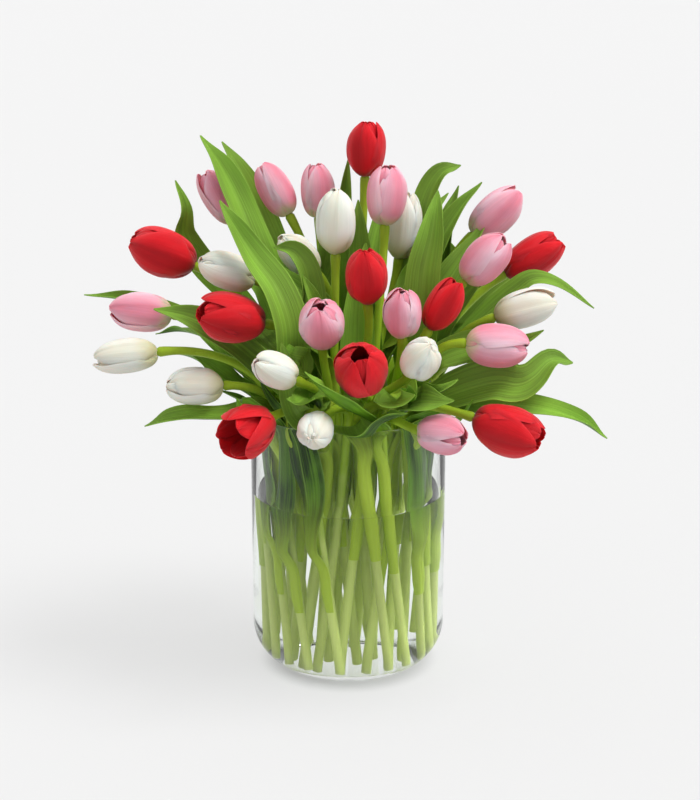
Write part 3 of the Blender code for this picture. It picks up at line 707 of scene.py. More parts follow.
def plant_tulips() -> list[Tulip]:
    """Gives the tulips their places in the vase, in three rings, and settles them.

    Returns:
        The tulips, by number.
    """
    tulips = [Tulip(n, *row) for n, row in enumerate(TULIPS, start=1)]
    outward = [math.hypot(t.middle[0], t.middle[1]) for t in tulips]
    order = sorted(range(len(tulips)), key=lambda i: -outward[i])
    for count, mouth_radius, floor_radius, twist in STEM_RINGS:
        ring, order = order[:count], order[count:]
        ring.sort(key=lambda i: math.atan2(tulips[i].middle[1], tulips[i].middle[0]))
        own = np.array([math.atan2(tulips[i].middle[1], tulips[i].middle[0]) for i in ring])
        even = np.arange(count) * 2 * math.pi / count
        turn = np.angle(np.exp(1j * (own - even)).mean())
        drift = np.angle(np.exp(1j * (own - even - turn)))
        for i, angle in zip(ring, even + turn + OWN_ANGLE_SHARE * drift):
            floor_angle = angle + math.radians(twist)
            foot = np.array([math.cos(floor_angle), math.sin(floor_angle), 0.0]) * floor_radius
            foot[2] = foot_height(foot)
            neck = np.array([math.cos(angle), math.sin(angle), 0.0]) * mouth_radius
            neck[2] = VASE_HEIGHT
            tulips[i].grow(foot, neck)
    settle(tulips, [])
    return tulips


def plant_leaves(tulips: list[Tulip]) -> list[Leaf]:
    """Gives each leaf the free stem nearest its place in the mouth and settles it.

    Args:
        tulips: the settled tulips.

    Returns:
        The leaves, by number.
    """
    leaves = [Leaf(n, *row) for n, row in enumerate(LEAVES, start=1)]
    free = list(tulips)
    for leaf in leaves:
        away = [np.hypot(*(t.points[LOW_STEPS, :2] - leaf.root)) for t in free]
        leaf.grow(free.pop(int(np.argmin(away))))
    settle(leaves, tulips)
    return leaves


def plant_sprays(tulips: list[Tulip], leaves: list[Leaf]) -> list[Leaf]:
    """Fills the bouquet with the leaves that have no CAD node, and settles them.

    Args:
        tulips: the settled tulips.
        leaves: the settled leaves.

    Returns:
        The further leaves, numbered on from those.
    """
    sprays = []
    for number, (tulip, start, top, *rest) in enumerate(SPRAYS, start=len(leaves) + 1):
        spray = Spray(number, (0.0, 0.0), start, *rest)
        spray.grow(tulips[tulip - 1], top * MM, LOW_STEPS + HIGH_STEPS // 2)
        sprays.append(spray)
    settle(sprays, tulips + leaves, SPRAY_ROUNDS)
    return sprays


# ---- meshes -------------------------------------------------------------------
@dataclass
class Shape:
    """Closed surfaces gathered into one mesh, each with its finish and values."""

    points: list[Array] = field(default_factory=list)
    faces: list[Array] = field(default_factory=list)
    places: list[Array] = field(default_factory=list)  # u, v at each corner of a face
    finishes: list[Array] = field(default_factory=list)  # number of the material, per face
    inside: list[Array] = field(default_factory=list)  # 1 on an upper or inner side, per point
    variety: list[Array] = field(default_factory=list)  # the part's own shade, per point
    count: int = 0

    def add_points(self, points: Array, inside: float, variety: float) -> int:
        """Adds points and their values.

        Args:
            points: any grid of points.
            inside: 1 if they lie on an upper or inner side.
            variety: shade of this part, 0 to 1.

        Returns:
            The number of the first of them.
        """
        first = self.count
        flat = points.reshape(-1, 3)
        self.points.append(flat)
        self.inside.append(np.full(len(flat), inside))
        self.variety.append(np.full(len(flat), variety))
        self.count += len(flat)
        return first

    def add_faces(self, corners: Array, places: Array, finish: int) -> None:
        """Adds faces.

        Args:
            corners: numbers of the points at the corners of each face.
            places: u and v at each of those corners.
            finish: number of the material.
        """
        self.faces.append(corners)
        self.places.append(places)
        self.finishes.append(np.full(len(corners), finish))

    def sheet(self, middle: Array, thickness: Array, variety: float, finish: int) -> None:
        """Adds a thin closed sheet round a grid of points.

        Both sides lie half the thickness from the grid along its normal, which is
        the cross product of the steps along its rows and along its columns. A strip
        round the rim joins them.

        Args:
            middle: rows by columns of points.
            thickness: the same grid of thicknesses.
            variety: shade of this part, 0 to 1.
            finish: number of the material.
        """
        rows, columns = middle.shape[:2]
        up = np.gradient(middle, axis=0)
        over = np.gradient(middle, axis=1)
        normal = np.cross(over, up)
        normal = normal / (np.linalg.norm(normal, axis=2, keepdims=True) + TINY * MM)
        shift = normal * thickness[:, :, None] / 2
        outer = self.add_points(middle + shift, 0.0, variety)
        inner = self.add_points(middle - shift, 1.0, variety)
        number = np.arange(rows * columns).reshape(rows, columns)
        u, v = np.meshgrid(np.linspace(0, 1, columns), np.linspace(0, 1, rows))
        place = np.stack([u, v], axis=2).reshape(-1, 2)
        quads = np.stack(
            [number[:-1, :-1], number[:-1, 1:], number[1:, 1:], number[1:, :-1]], axis=2
        ).reshape(-1, 4)
        self.add_faces(quads + outer, place[quads], finish)
        self.add_faces(quads[:, ::-1] + inner, place[quads[:, ::-1]], finish)
        rim = np.concatenate(
            [number[0, :-1], number[:-1, -1], number[-1, :0:-1], number[:0:-1, 0]]
        )
        after = np.roll(rim, -1)
        strip = np.stack([after + outer, rim + outer, rim + inner, after + inner], axis=1)
        around = place[np.stack([after, rim, rim, after], axis=1)]
        self.add_faces(strip, around, finish)

    def tube(self, path: Array, radii: Array, sides: int, variety: float, finish: int) -> None:
        """Adds a closed tube along a path.

        A ring is the path's point plus its radius times a circle across the path,
        turned as little as possible from the ring before. A fan closes each end.

        Args:
            path: points of the tube's middle line.
            radii: radius at each point, or a row of radii, one for each side.
            sides: how many points are in a ring.
            variety: shade of this part, 0 to 1.
            finish: number of the material.
        """
        along = unit(np.gradient(path, axis=0))
        side = unit(np.cross(along[0], (0.02, 1.0, 0.03)))
        frames = []
        for way in along:
            side = unit(side - side.dot(way) * way)
            frames.append((side, np.cross(way, side)))
        first, second = np.array(frames).transpose(1, 0, 2)
        turn = np.arange(sides) * 2 * math.pi / sides
        cosine, sine = np.cos(turn)[None, :, None], np.sin(turn)[None, :, None]
        circle = cosine * first[:, None] + sine * second[:, None]
        spans = np.broadcast_to(radii.reshape(len(path), -1), (len(path), sides))
        rings = path[:, None] + circle * spans[:, :, None]
        self.rings(rings, path[[0, -1]], variety, finish)

    def rings(self, points: Array, ends: Array, variety: float, finish: int) -> None:
        """Adds a closed skin over rings of points, with a fan to a tip at each end.

        u runs round the rings, and v from the first ring to the last.

        Args:
            points: rings by sides of points.
            ends: the two tips.
            variety: shade of this part, 0 to 1.
            finish: number of the material.
        """
        count, sides = points.shape[:2]
        start = self.add_points(points, 0.0, variety)
        number = np.arange(count * sides).reshape(count, sides)
        after = np.roll(number, -1, axis=1)
        quads = np.stack([number[:-1], after[:-1], after[1:], number[1:]], axis=2).reshape(-1, 4)
        v, u = np.meshgrid(np.linspace(0, 1, count), np.arange(sides) / sides, indexing="ij")
        low, high, step = v[:-1], v[1:], u[:-1] + 1.0 / sides
        corners = [(u[:-1], low), (step, low), (step, high), (u[:-1], high)]
        place = np.stack([np.stack(c, axis=2) for c in corners], axis=2).reshape(-1, 4, 2)
        self.add_faces(quads + start, place, finish)
        tips = self.add_points(ends, 0.0, variety)
        for ring, tip, v_end, flip in ((0, tips, 0.0, True), (count - 1, tips + 1, 1.0, False)):
            edge = number[ring] + start
            fan = np.stack([edge, np.roll(edge, -1), np.full(sides, tip)], axis=1)
            fan = fan[:, ::-1] if flip else fan
            self.add_faces(fan, np.full((sides, 3, 2), v_end), finish)

    def build(self, name: str, materials: list[Material], sharp: float = 50.0) -> Object:
        """Makes the mesh and puts it into the scene.

        Args:
            name: name of the piece.
            materials: the finishes, in the order of their numbers.
            sharp: angle in degrees past which an edge stays crisp.

        Returns:
            The new object.
        """
        mesh = bpy.data.meshes.new(name)
        faces = [face for block in self.faces for face in block.tolist()]
        mesh.from_pydata(np.concatenate(self.points).tolist(), [], faces)
        uv = mesh.uv_layers.new(name="UVMap")
        uv.data.foreach_set("uv", np.concatenate([p.reshape(-1) for p in self.places]))
        for label, values in (("inside", self.inside), ("variety", self.variety)):
            layer = mesh.attributes.new(label, "FLOAT", "POINT")
            layer.data.foreach_set("value", np.concatenate(values))
        mesh.polygons.foreach_set("material_index", np.concatenate(self.finishes))
        for material in materials:
            mesh.materials.append(material)
        mesh.shade_smooth()
        mesh.set_sharp_from_angle(angle=math.radians(sharp))
        mesh.update()
        made = bpy.data.objects.new(name, mesh)
        bpy.context.scene.collection.objects.link(made)
        log.info("%s: %d points, %d faces", name, self.count, len(faces))
        return made


def place_piece(piece: Object, slot: str, *nodes: str) -> None:
    """Fixes a piece to the object.

    Args:
        piece: the piece.
        slot: its slot; not used.
        nodes: the CAD nodes it stands for.
    """
    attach(piece, "root")
    if nodes:
        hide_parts(*nodes)


# ---- finishes -----------------------------------------------------------------
def linear(colour: str) -> tuple[float, float, float, float]:
    """Linear colour from an sRGB hex value.

    Args:
        colour: the value, such as "#C0182A".

    Returns:
        Red, green, blue and alpha, 0 to 1.
    """
    parts = [int(colour[k : k + 2], 16) / 255 for k in (1, 3, 5)]
    red, green, blue = (
        c / 12.92 if c <= 0.04045 else ((c + 0.055) / 1.055) ** 2.4 for c in parts
    )
    return red, green, blue, 1.0


# How some kinds of node are set unless told otherwise, which inputs their values go to,
# and their usual output
NODE_USES = {
    "Math": ({"operation": "MULTIPLY_ADD"}, (0, 1, 2), 0),  # value, factor, what is added
    "Mix": ({"data_type": "RGBA"}, (0, 6, 7), 2),  # share, first colour, second colour
    "MapRange": ({"interpolation_type": "SMOOTHSTEP"}, (0, 1, 2), 0),  # value, 0 here, 1 here
    "UVMap": ({"uv_map": "UVMap"}, (), 0),
    "Mapping": ({}, (0, 3), 0),  # places, scale
    "TexNoise": ({}, (0, 2, 3), 0),  # places, scale, detail
    "HueSaturation": ({}, (4, 2), 0),  # colour, brightness
    "Bump": ({}, (3, 0, 1), 0),  # height, strength, distance
}


def give(tree: Tree, node: bpy.types.Node, values: dict) -> None:
    """Gives a node's inputs plain values, or links other nodes' outputs to them.

    Args:
        tree: the tree.
        node: the node.
        values: a value or an output for each input, by its name or number.
    """
    for key, value in values.items():
        if isinstance(value, Socket):
            tree.links.new(value, node.inputs[key])
        else:
            node.inputs[key].default_value = value


def add(
    tree: Tree, kind: str, *values: Value, out: int | str | None = None, **settings: str
) -> Socket:
    """Adds a node to a tree.

    Args:
        tree: the tree.
        kind: type of the node, without its ShaderNode prefix.
        values: a value or another node's output for each input in turn.
        out: the output wanted, by name or number, if not the usual one.
        settings: the node's own properties.

    Returns:
        That output of the new node.
    """
    made = tree.nodes.new("ShaderNode" + kind)
    usual, order, usual_out = NODE_USES.get(kind, ({}, range(len(values)), 0))
    for key, value in {**usual, **settings}.items():
        setattr(made, key, value)
    give(tree, made, dict(zip(order, values)))
    return made.outputs[usual_out if out is None else out]


def grain(node: Adder, across: float, along: float, detail: float = 3.0) -> Socket:
    """Noise drawn out along a piece's own v direction.

    Args:
        node: adds a node to the material's tree.
        across: cells across the piece.
        along: cells along it.
        detail: octaves of finer noise.

    Returns:
        The noise, which lies elsewhere on every part.
    """
    variety = node("Attribute", attribute_name="variety", out="Fac")
    offset = node("VectorMath", variety, PATTERN_SHIFT, operation="MULTIPLY")
    sized = node("Mapping", node("UVMap"), (across, along, 1.0))
    return node("TexNoise", node("VectorMath", sized, offset, operation="ADD"), 1.0, detail)


def surface_values(node: Adder) -> tuple[Socket, Socket, Socket, Socket]:
    """Values that a mesh carries, all from 0 to 1.

    Args:
        node: adds a node to the material's tree.

    Returns:
        Distance from the midrib, place from base to tip, inner or upper side, and
        the part's own shade.
    """
    uv = node("UVMap")
    centred = node("Math", node("SeparateXYZ", uv), 2.0, -1.0)
    stored = (node("Attribute", attribute_name=name, out="Fac") for name in ("inside", "variety"))
    return node("Math", centred, operation="ABSOLUTE"), node("SeparateXYZ", uv, out=1), *stored


@dataclass(frozen=True)
class Finish:
    """A material's name and its numbers. Each kind of finish has values of its own."""

    name: str
    roughness: float

    def values(self, node: Adder) -> dict:
        """Works out what the inputs of the Principled node take.

        Args:
            node: adds a node to the material's tree.

        Returns:
            A value or an output for each input, by its name.
        """
        raise NotImplementedError

    def surface(self, node: Adder, shader: Socket) -> Socket:
        """What a piece shows, which is the Principled node's output and nothing else."""
        return shader

    def make(self) -> Material:
        """Makes the material.

        Returns:
            The material.
        """
        made = bpy.data.materials.new(self.name)
        made.use_nodes = True
        tree = made.node_tree
        node = partial(add, tree)
        shader, end = tree.nodes["Principled BSDF"], tree.nodes["Material Output"]
        give(tree, shader, {"Roughness": self.roughness, **self.values(node)})
        give(tree, end, {"Surface": self.surface(node, shader.outputs[0])})
        return made


@dataclass(frozen=True)
class PetalFinish(Finish):
    """Tulip petal: thin, waxy and a little translucent, so it looks satin, not glossy.

    Fine veins run from base to tip, a flame of deeper colour follows the midrib,
    and the margin is paler.
    """

    body: str
    flame: str
    margin: str
    base: str
    throat: str
    flame_share: float
    margin_share: float
    base_reach: float
    throat_reach: float

    VEINS = (34.0, 1.6)  # cells across and along: a vein for every millimetre of 34
    CLOUDS = (3.0, 2.2, 2.0)  # soft clouds, a third of the petal wide
    STRAY = 0.7  # how far the clouds move the borders of the flame and the margin
    FLAME, MARGIN = (0.62, 0.02), (0.55, 1.05)  # distances from the midrib where they come in
    STREAKED, STREAKS = (0.95, 0.1), 0.25  # where veins draw out the base, and how far
    THROAT_WHOLE = 0.35  # share of its reach up to which the throat's colour is whole
    VEIN_TONE = (0.16, 0.90)  # brightness that a vein adds, and brightness beside it
    OWN_TONE = 0.14  # range of brightness from petal to petal
    PATCHES = 0.14  # range of roughness in the clouds
    RIBS = (0.5, 0.0005)  # strength and height

    def values(self, node: Adder) -> dict:
        """Works out the inputs: body, then flame, margin, base and throat over it.

        Args:
            node: adds a node to the material's tree.

        Returns:
            A value or an output for each input, by its name.
        """
        out, along, inside, variety = surface_values(node)
        veins, cloud = grain(node, *self.VEINS), grain(node, *self.CLOUDS)
        wander = node("Math", cloud, self.STRAY, -self.STRAY / 2)
        strayed = node("Math", out, wander, operation="ADD")
        flame = node("MapRange", strayed, *self.FLAME)
        flame = node("Math", flame, self.flame_share, operation="MULTIPLY")
        colour = node("Mix", flame, linear(self.body), linear(self.flame))
        edge = node("MapRange", strayed, *self.MARGIN)
        edge = node("Math", edge, self.margin_share, operation="MULTIPLY")
        colour = node("Mix", edge, colour, linear(self.margin))
        streak = node("Math", veins, node("MapRange", along, *self.STREAKED), operation="MULTIPLY")
        low = node("Math", streak, -self.STREAKS * self.base_reach, along)
        colour = node("Mix", node("MapRange", low, self.base_reach, 0.0), colour, linear(self.base))
        throat = node("MapRange", low, self.throat_reach, self.throat_reach * self.THROAT_WHOLE)
        throat = node("Math", inside, throat, operation="MULTIPLY")
        colour = node("Mix", throat, colour, linear(self.throat))
        tone = node("Math", veins, *self.VEIN_TONE)
        own = node("Math", variety, self.OWN_TONE, -self.OWN_TONE / 2)
        tone = node("Math", tone, own, operation="ADD")
        return {
            "Base Color": node("HueSaturation", colour, tone),
            "Roughness": node("Math", cloud, self.PATCHES, self.roughness - self.PATCHES / 2),
            "Normal": node("Bump", veins, *self.RIBS),
            "Subsurface Weight": 0.45,
            "Subsurface Radius": (1.0, 0.45, 0.35),
            "Subsurface Scale": 0.0025,
            "Specular IOR Level": 0.22,
            "Sheen Weight": 0.10,
        }


@dataclass(frozen=True)
class LeafFinish(Finish):
    """Tulip leaf: a waxy blade with parallel veins, and a painted highlight along its edges."""

    dark: str
    light: str
    under: str
    sheath: str

    VEINS = (26.0, 0.9, 1.0)  # cells across and along: a vein for every 1.2 mm of 30
    CLOUDS = (2.5, 5.0, 2.0)
    CONTRAST = (2.2, -0.78)  # share of light colour that a cloud adds, and share without it
    OWN_SHARE = 0.8  # range of that share from leaf to leaf
    LINES, LINES_SHARE = (0.48, 0.66), 0.35  # veins that show light, and how light
    UNDER_SHARE = 0.58  # how far the lower side has its own colour
    MIDRIB, MIDRIB_SHARE = (0.09, 0.015), 0.35  # distances from the middle, and how pale
    # painted highlight along the leaf's edges: distances from the middle where it comes in, and how
    # pale it is
    MARGIN, MARGIN_SHARE = (0.93, 0.99), 0.55
    PALE_SHEATH_AND_GLOW = (0.58, 0.14)  # shares of the length between which the sheath's colour comes in: partly the leaf foot's own paler green, partly a painted glow of light shining through the thin sheath
    VEIN_TONE = (0.30, 0.85)  # brightness that a vein adds, and brightness beside it
    PATCHES = 0.16  # range of roughness in the clouds
    RIBS = (0.7, 0.0006)  # strength and height

    def values(self, node: Adder) -> dict:
        """Works out the inputs: clouds and lines of two greens, then the pale midrib, the painted
        edge highlight and the paler sheath.

        Args:
            node: adds a node to the material's tree.

        Returns:
            A value or an output for each input, by its name.
        """
        out, along, inside, variety = surface_values(node)
        veins, cloud = grain(node, *self.VEINS), grain(node, *self.CLOUDS)
        share = node("Math", cloud, *self.CONTRAST)
        own = node("Math", variety, self.OWN_SHARE, -self.OWN_SHARE / 2)
        share = node("Math", share, own, operation="ADD")
        colour = node("Mix", share, linear(self.dark), linear(self.light))
        lines = node("MapRange", veins, *self.LINES)
        lines = node("Math", lines, self.LINES_SHARE, operation="MULTIPLY")
        colour = node("Mix", lines, colour, linear(self.light))
        below = node("Math", 1.0, inside, operation="SUBTRACT")
        below = node("Math", below, self.UNDER_SHARE, operation="MULTIPLY")
        colour = node("Mix", below, colour, linear(self.under))
        midrib, margin = (
            node("Math", node("MapRange", out, *place), whole, operation="MULTIPLY")
            for place, whole in ((self.MIDRIB, self.MIDRIB_SHARE), (self.MARGIN, self.MARGIN_SHARE))
        )
        # pale midrib, and the painted highlight along the edges, both in the under colour
        pale = node("Math", midrib, margin, operation="MAXIMUM")
        colour = node("Mix", pale, colour, linear(self.under))
        # sheath colour towards the foot: its own paler green, and a painted glow of light through
        # it
        colour = node("Mix", node("MapRange", along, *self.PALE_SHEATH_AND_GLOW), colour, linear(self.sheath))
        return {
            "Base Color": node("HueSaturation", colour, node("Math", veins, *self.VEIN_TONE)),
            "Roughness": node("Math", cloud, self.PATCHES, self.roughness - self.PATCHES / 2),
            "Normal": node("Bump", veins, *self.RIBS),
            "Specular IOR Level": 0.16,
        }


@dataclass(frozen=True)
class StemFinish(Finish):
    """Tulip stem: smooth, fleshy and waxy, paler at the cut foot, with faint streaks."""

    foot: str
    middle: str
    neck: str

    STREAKS = (900.0, 900.0, 25.0)  # cells in a metre: 1.1 mm wide and 40 mm long
    BLOTCHES = 60.0  # 17 mm across
    STRAY = 0.2  # how far the blotches move the borders of the colours
    FOOT, NECK = (0.12, 0.32), (0.70, 1.0)  # shares of the length where they change
    STREAK_TONE = (0.22, 0.86)  # brightness that a streak adds, and brightness beside it
    OWN_TONE = 0.2  # range of brightness from stem to stem
    RIBS = (0.25, 0.0003)  # strength and height

    def values(self, node: Adder) -> dict:
        """Works out the inputs: three colours up the stem, with streaks along it.

        Args:
            node: adds a node to the material's tree.

        Returns:
            A value or an output for each input, by its name.
        """
        _, along, _, variety = surface_values(node)
        place = node("TexCoord", out="Object")
        fibre = node("TexNoise", node("Mapping", place, self.STREAKS), 1.0, 2.0)
        blotch = node("TexNoise", place, self.BLOTCHES, 2.0)
        stray = node("Math", blotch, self.STRAY, -self.STRAY / 2)
        moved = node("Math", along, stray, operation="ADD")
        foot = node("MapRange", moved, *self.FOOT)
        colour = node("Mix", foot, linear(self.foot), linear(self.middle))
        colour = node("Mix", node("MapRange", moved, *self.NECK), colour, linear(self.neck))
        tone = node("Math", fibre, *self.STREAK_TONE)
        own = node("Math", variety, self.OWN_TONE, -self.OWN_TONE / 2)
        return {
            "Base Color": node("HueSaturation", colour, node("Math", tone, own, operation="ADD")),
            "Normal": node("Bump", fibre, *self.RIBS),
            "Specular IOR Level": 0.22,
        }


@dataclass(frozen=True)
class SpeckFinish(Finish):
    """Pollen on an anther: a matt powder, so its colour is broken into specks."""

    dark: str
    light: str

    SPECKS = 1500.0  # cells in a metre: 0.7 mm across
    BORDER = (0.42, 0.6)  # heights of the noise between which a speck turns light
    RELIEF = (0.6, 0.0003)  # strength and height

    def values(self, node: Adder) -> dict:
        """Works out the inputs: specks of two colours, a little raised.

        Args:
            node: adds a node to the material's tree.

        Returns:
            A value or an output for each input, by its name.
        """
        specks = node("TexNoise", node("TexCoord", out="Object"), self.SPECKS, 2.0)
        share = node("MapRange", specks, *self.BORDER)
        colour = node("Mix", share, linear(self.dark), linear(self.light))
        return {"Base Color": colour, "Normal": node("Bump", specks, *self.RELIEF)}


@dataclass(frozen=True)
class ClearFinish(Finish):
    """Something clear: light goes through it and bends, and shadows stay pale.

    A slow waviness of the surface moves the reflections a little, as in blown glass
    or still water.
    """

    tint: str
    ior: float
    mirror: float  # share of the usual reflection seen face on; at the edges it stays whole
    wave_mm: float
    wave_strength: float

    def values(self, node: Adder) -> dict:
        """Works out the inputs: one tint all over, and slow waves in the surface.

        Args:
            node: adds a node to the material's tree.

        Returns:
            A value or an output for each input, by its name.
        """
        place = node("TexCoord", out="Object")
        waves = node("TexNoise", place, 1.0 / (self.wave_mm * MM), 1.0)
        return {
            "Base Color": linear(self.tint),
            "IOR": self.ior,
            "Transmission Weight": 1.0,
            "Specular Tint": (self.mirror, self.mirror, self.mirror, 1.0),
            "Normal": node("Bump", waves, self.wave_strength, MM),
        }

    def surface(self, node: Adder, shader: Socket) -> Socket:
        """Lets the light that would cast a shadow straight through, tinted.

        Args:
            node: adds a node to the material's tree.
            shader: the Principled node's output.

        Returns:
            What a piece shows.
        """
        clear = node("BsdfTransparent", linear(self.tint))
        return node("MixShader", node("LightPath", out="Is Shadow Ray"), shader, clear)


def mirrored(node: Adder) -> Socket:
    """Tells a ray that a surface sends back from one that goes through glass.

    Args:
        node: adds a node to a tree.

    Returns:
        1 for the first and 0 for the second.
    """
    rays = (node("LightPath", out=f"Is {kind} Ray") for kind in ("Glossy", "Transmission"))
    return node("Math", *rays, operation="SUBTRACT")


@dataclass(frozen=True)
class PaperFinish(Finish):
    """Matt paper with a fine tooth on a light table, which gives most of the light.

    It gives less to what stands above, and less again under the rounding of the
    vase's foot, a painted contact shadow. What glass mirrors from near the camera is
    dark, as a real room is behind a camera.
    """

    grey: float
    light: float
    less_above: float
    painted_foot_shadow: float

    FOOT_STARTS, FOOT_ENDS = (0.043, 0.050), (0.078, 0.056)  # distances from the vase's axis where the painted contact shadow round the foot comes in and goes
    TOOTH = 400.0  # cells in a metre: 2.5 mm across
    NEAR = (-0.10, -0.45)  # ways forward between which the floor turns dark

    def values(self, node: Adder) -> dict:
        """Works out the inputs from the distance from the vase's axis.

        Args:
            node: adds a node to the material's tree.

        Returns:
            A value or an output for each input, by its name.
        """
        place = node("TexCoord", out="Object")
        away = node("VectorMath", place, operation="LENGTH", out="Value")
        # painted contact shadow: the floor's glow is dimmed in a ring round the vase's foot
        foot = (node("MapRange", away, *ramp) for ramp in (self.FOOT_STARTS, self.FOOT_ENDS))
        shade = node("Math", node("Math", *foot, operation="MULTIPLY"), self.painted_foot_shadow, 1.0)
        glow = node("Math", node("LightPath", out="Is Diffuse Ray"), self.less_above, self.light)
        return {
            "Base Color": (self.grey, self.grey, self.grey, 1.0),
            "Specular IOR Level": 0.1,
            "Normal": node("Bump", node("TexNoise", place, self.TOOTH), 0.03, MM),
            "Emission Color": (1.0, 1.0, 1.0, 1.0),
            "Emission Strength": node("Math", glow, shade, operation="MULTIPLY"),
        }

    def surface(self, node: Adder, shader: Socket) -> Socket:
        """Shows glass something dark in the part of the floor near the camera.

        Args:
            node: adds a node to the material's tree.
            shader: the Principled node's output.

        Returns:
            What the floor shows.
        """
        forward = node("SeparateXYZ", node("TexCoord", out="Object"), out=1)
        near = node("MapRange", forward, *self.NEAR)
        hidden = node("Math", near, mirrored(node), operation="MULTIPLY")
        return node("MixShader", hidden, shader, node("Emission", linear(BEHIND)))


# Colours of a petal's body, flame, margin, base and throat
RED_COLOURS = ("#DA121E", "#A20814", "#E43038", "#8F0D14", "#3A060A")
PINK_COLOURS = ("#F2A6B6", "#E67C90", "#F8C8D2", "#D9C8A0", "#8A3045")
IVORY_COLOURS = ("#F0E6D9", "#E9DCC8", "#F6F0E6", "#CBC596", "#C9B98A")
# Roughness, colours, shares of flame and margin, and how far base and throat reach
PETALS = {
    Hue.RED: PetalFinish("satin_red_petal", 0.5, *RED_COLOURS, 0.6, 0.35, 0.16, 0.42),
    Hue.PINK: PetalFinish("satin_pink_petal", 0.52, *PINK_COLOURS, 0.75, 0.8, 0.20, 0.30),
    Hue.WHITE: PetalFinish("satin_ivory_petal", 0.52, *IVORY_COLOURS, 0.7, 0.6, 0.30, 0.35),
}
LEAF_GREEN = LeafFinish("waxy_tulip_leaf", 0.42, "#163400", "#78B02A", "#90B84A", "#B8D444")
STEM_GREEN = StemFinish("fleshy_tulip_stem", 0.42, "#D2E280", "#AED23A", "#90AC28")
ANTHER = SpeckFinish("powdery_anther", 0.9, "#1A1016", "#3A2A30")
# Tint, refractive index, mirror, and length and strength of the waves. Both bend light less
# than real glass (1.5) and water (1.33) do, because little bending is seen in the real ones.
GLASS = ClearFinish("clear_blown_glass", 0.0, "#FDFFFE", 1.25, 1.0, 45.0, 0.02)
WATER = ClearFinish("still_water", 0.0, "#FEFFFD", 1.2, 0.4, 30.0, 0.01)
BEHIND = "#3C3C3C"  # what glass mirrors from behind the camera
# Its grey, the light it gives, and how much less above it and under the foot, the last a painted
# contact shadow
PAPER = PaperFinish("matt_pale_paper", 0.9, 0.18, 0.63, -0.10, -0.4)


# ---- tulips -------------------------------------------------------------------
PETAL_ROWS, PETAL_COLUMNS = 26, 21
PETAL_THICKNESS = 0.0005
RECEPTACLE = 0.0034  # radius at which petals leave the top of the stem
# Places along a petal, and how far it leans out there in degrees, shut and open wide
LEAN_PLACES = (0.0, 0.10, 0.24, 0.42, 0.62, 0.82, 1.0)
LEANS_SHUT = (84.0, 56.0, 24.0, 5.0, -9.0, -33.0, -70.0)
LEANS_OPEN = (88.0, 74.0, 52.0, 36.0, 24.0, 16.0, 22.0)


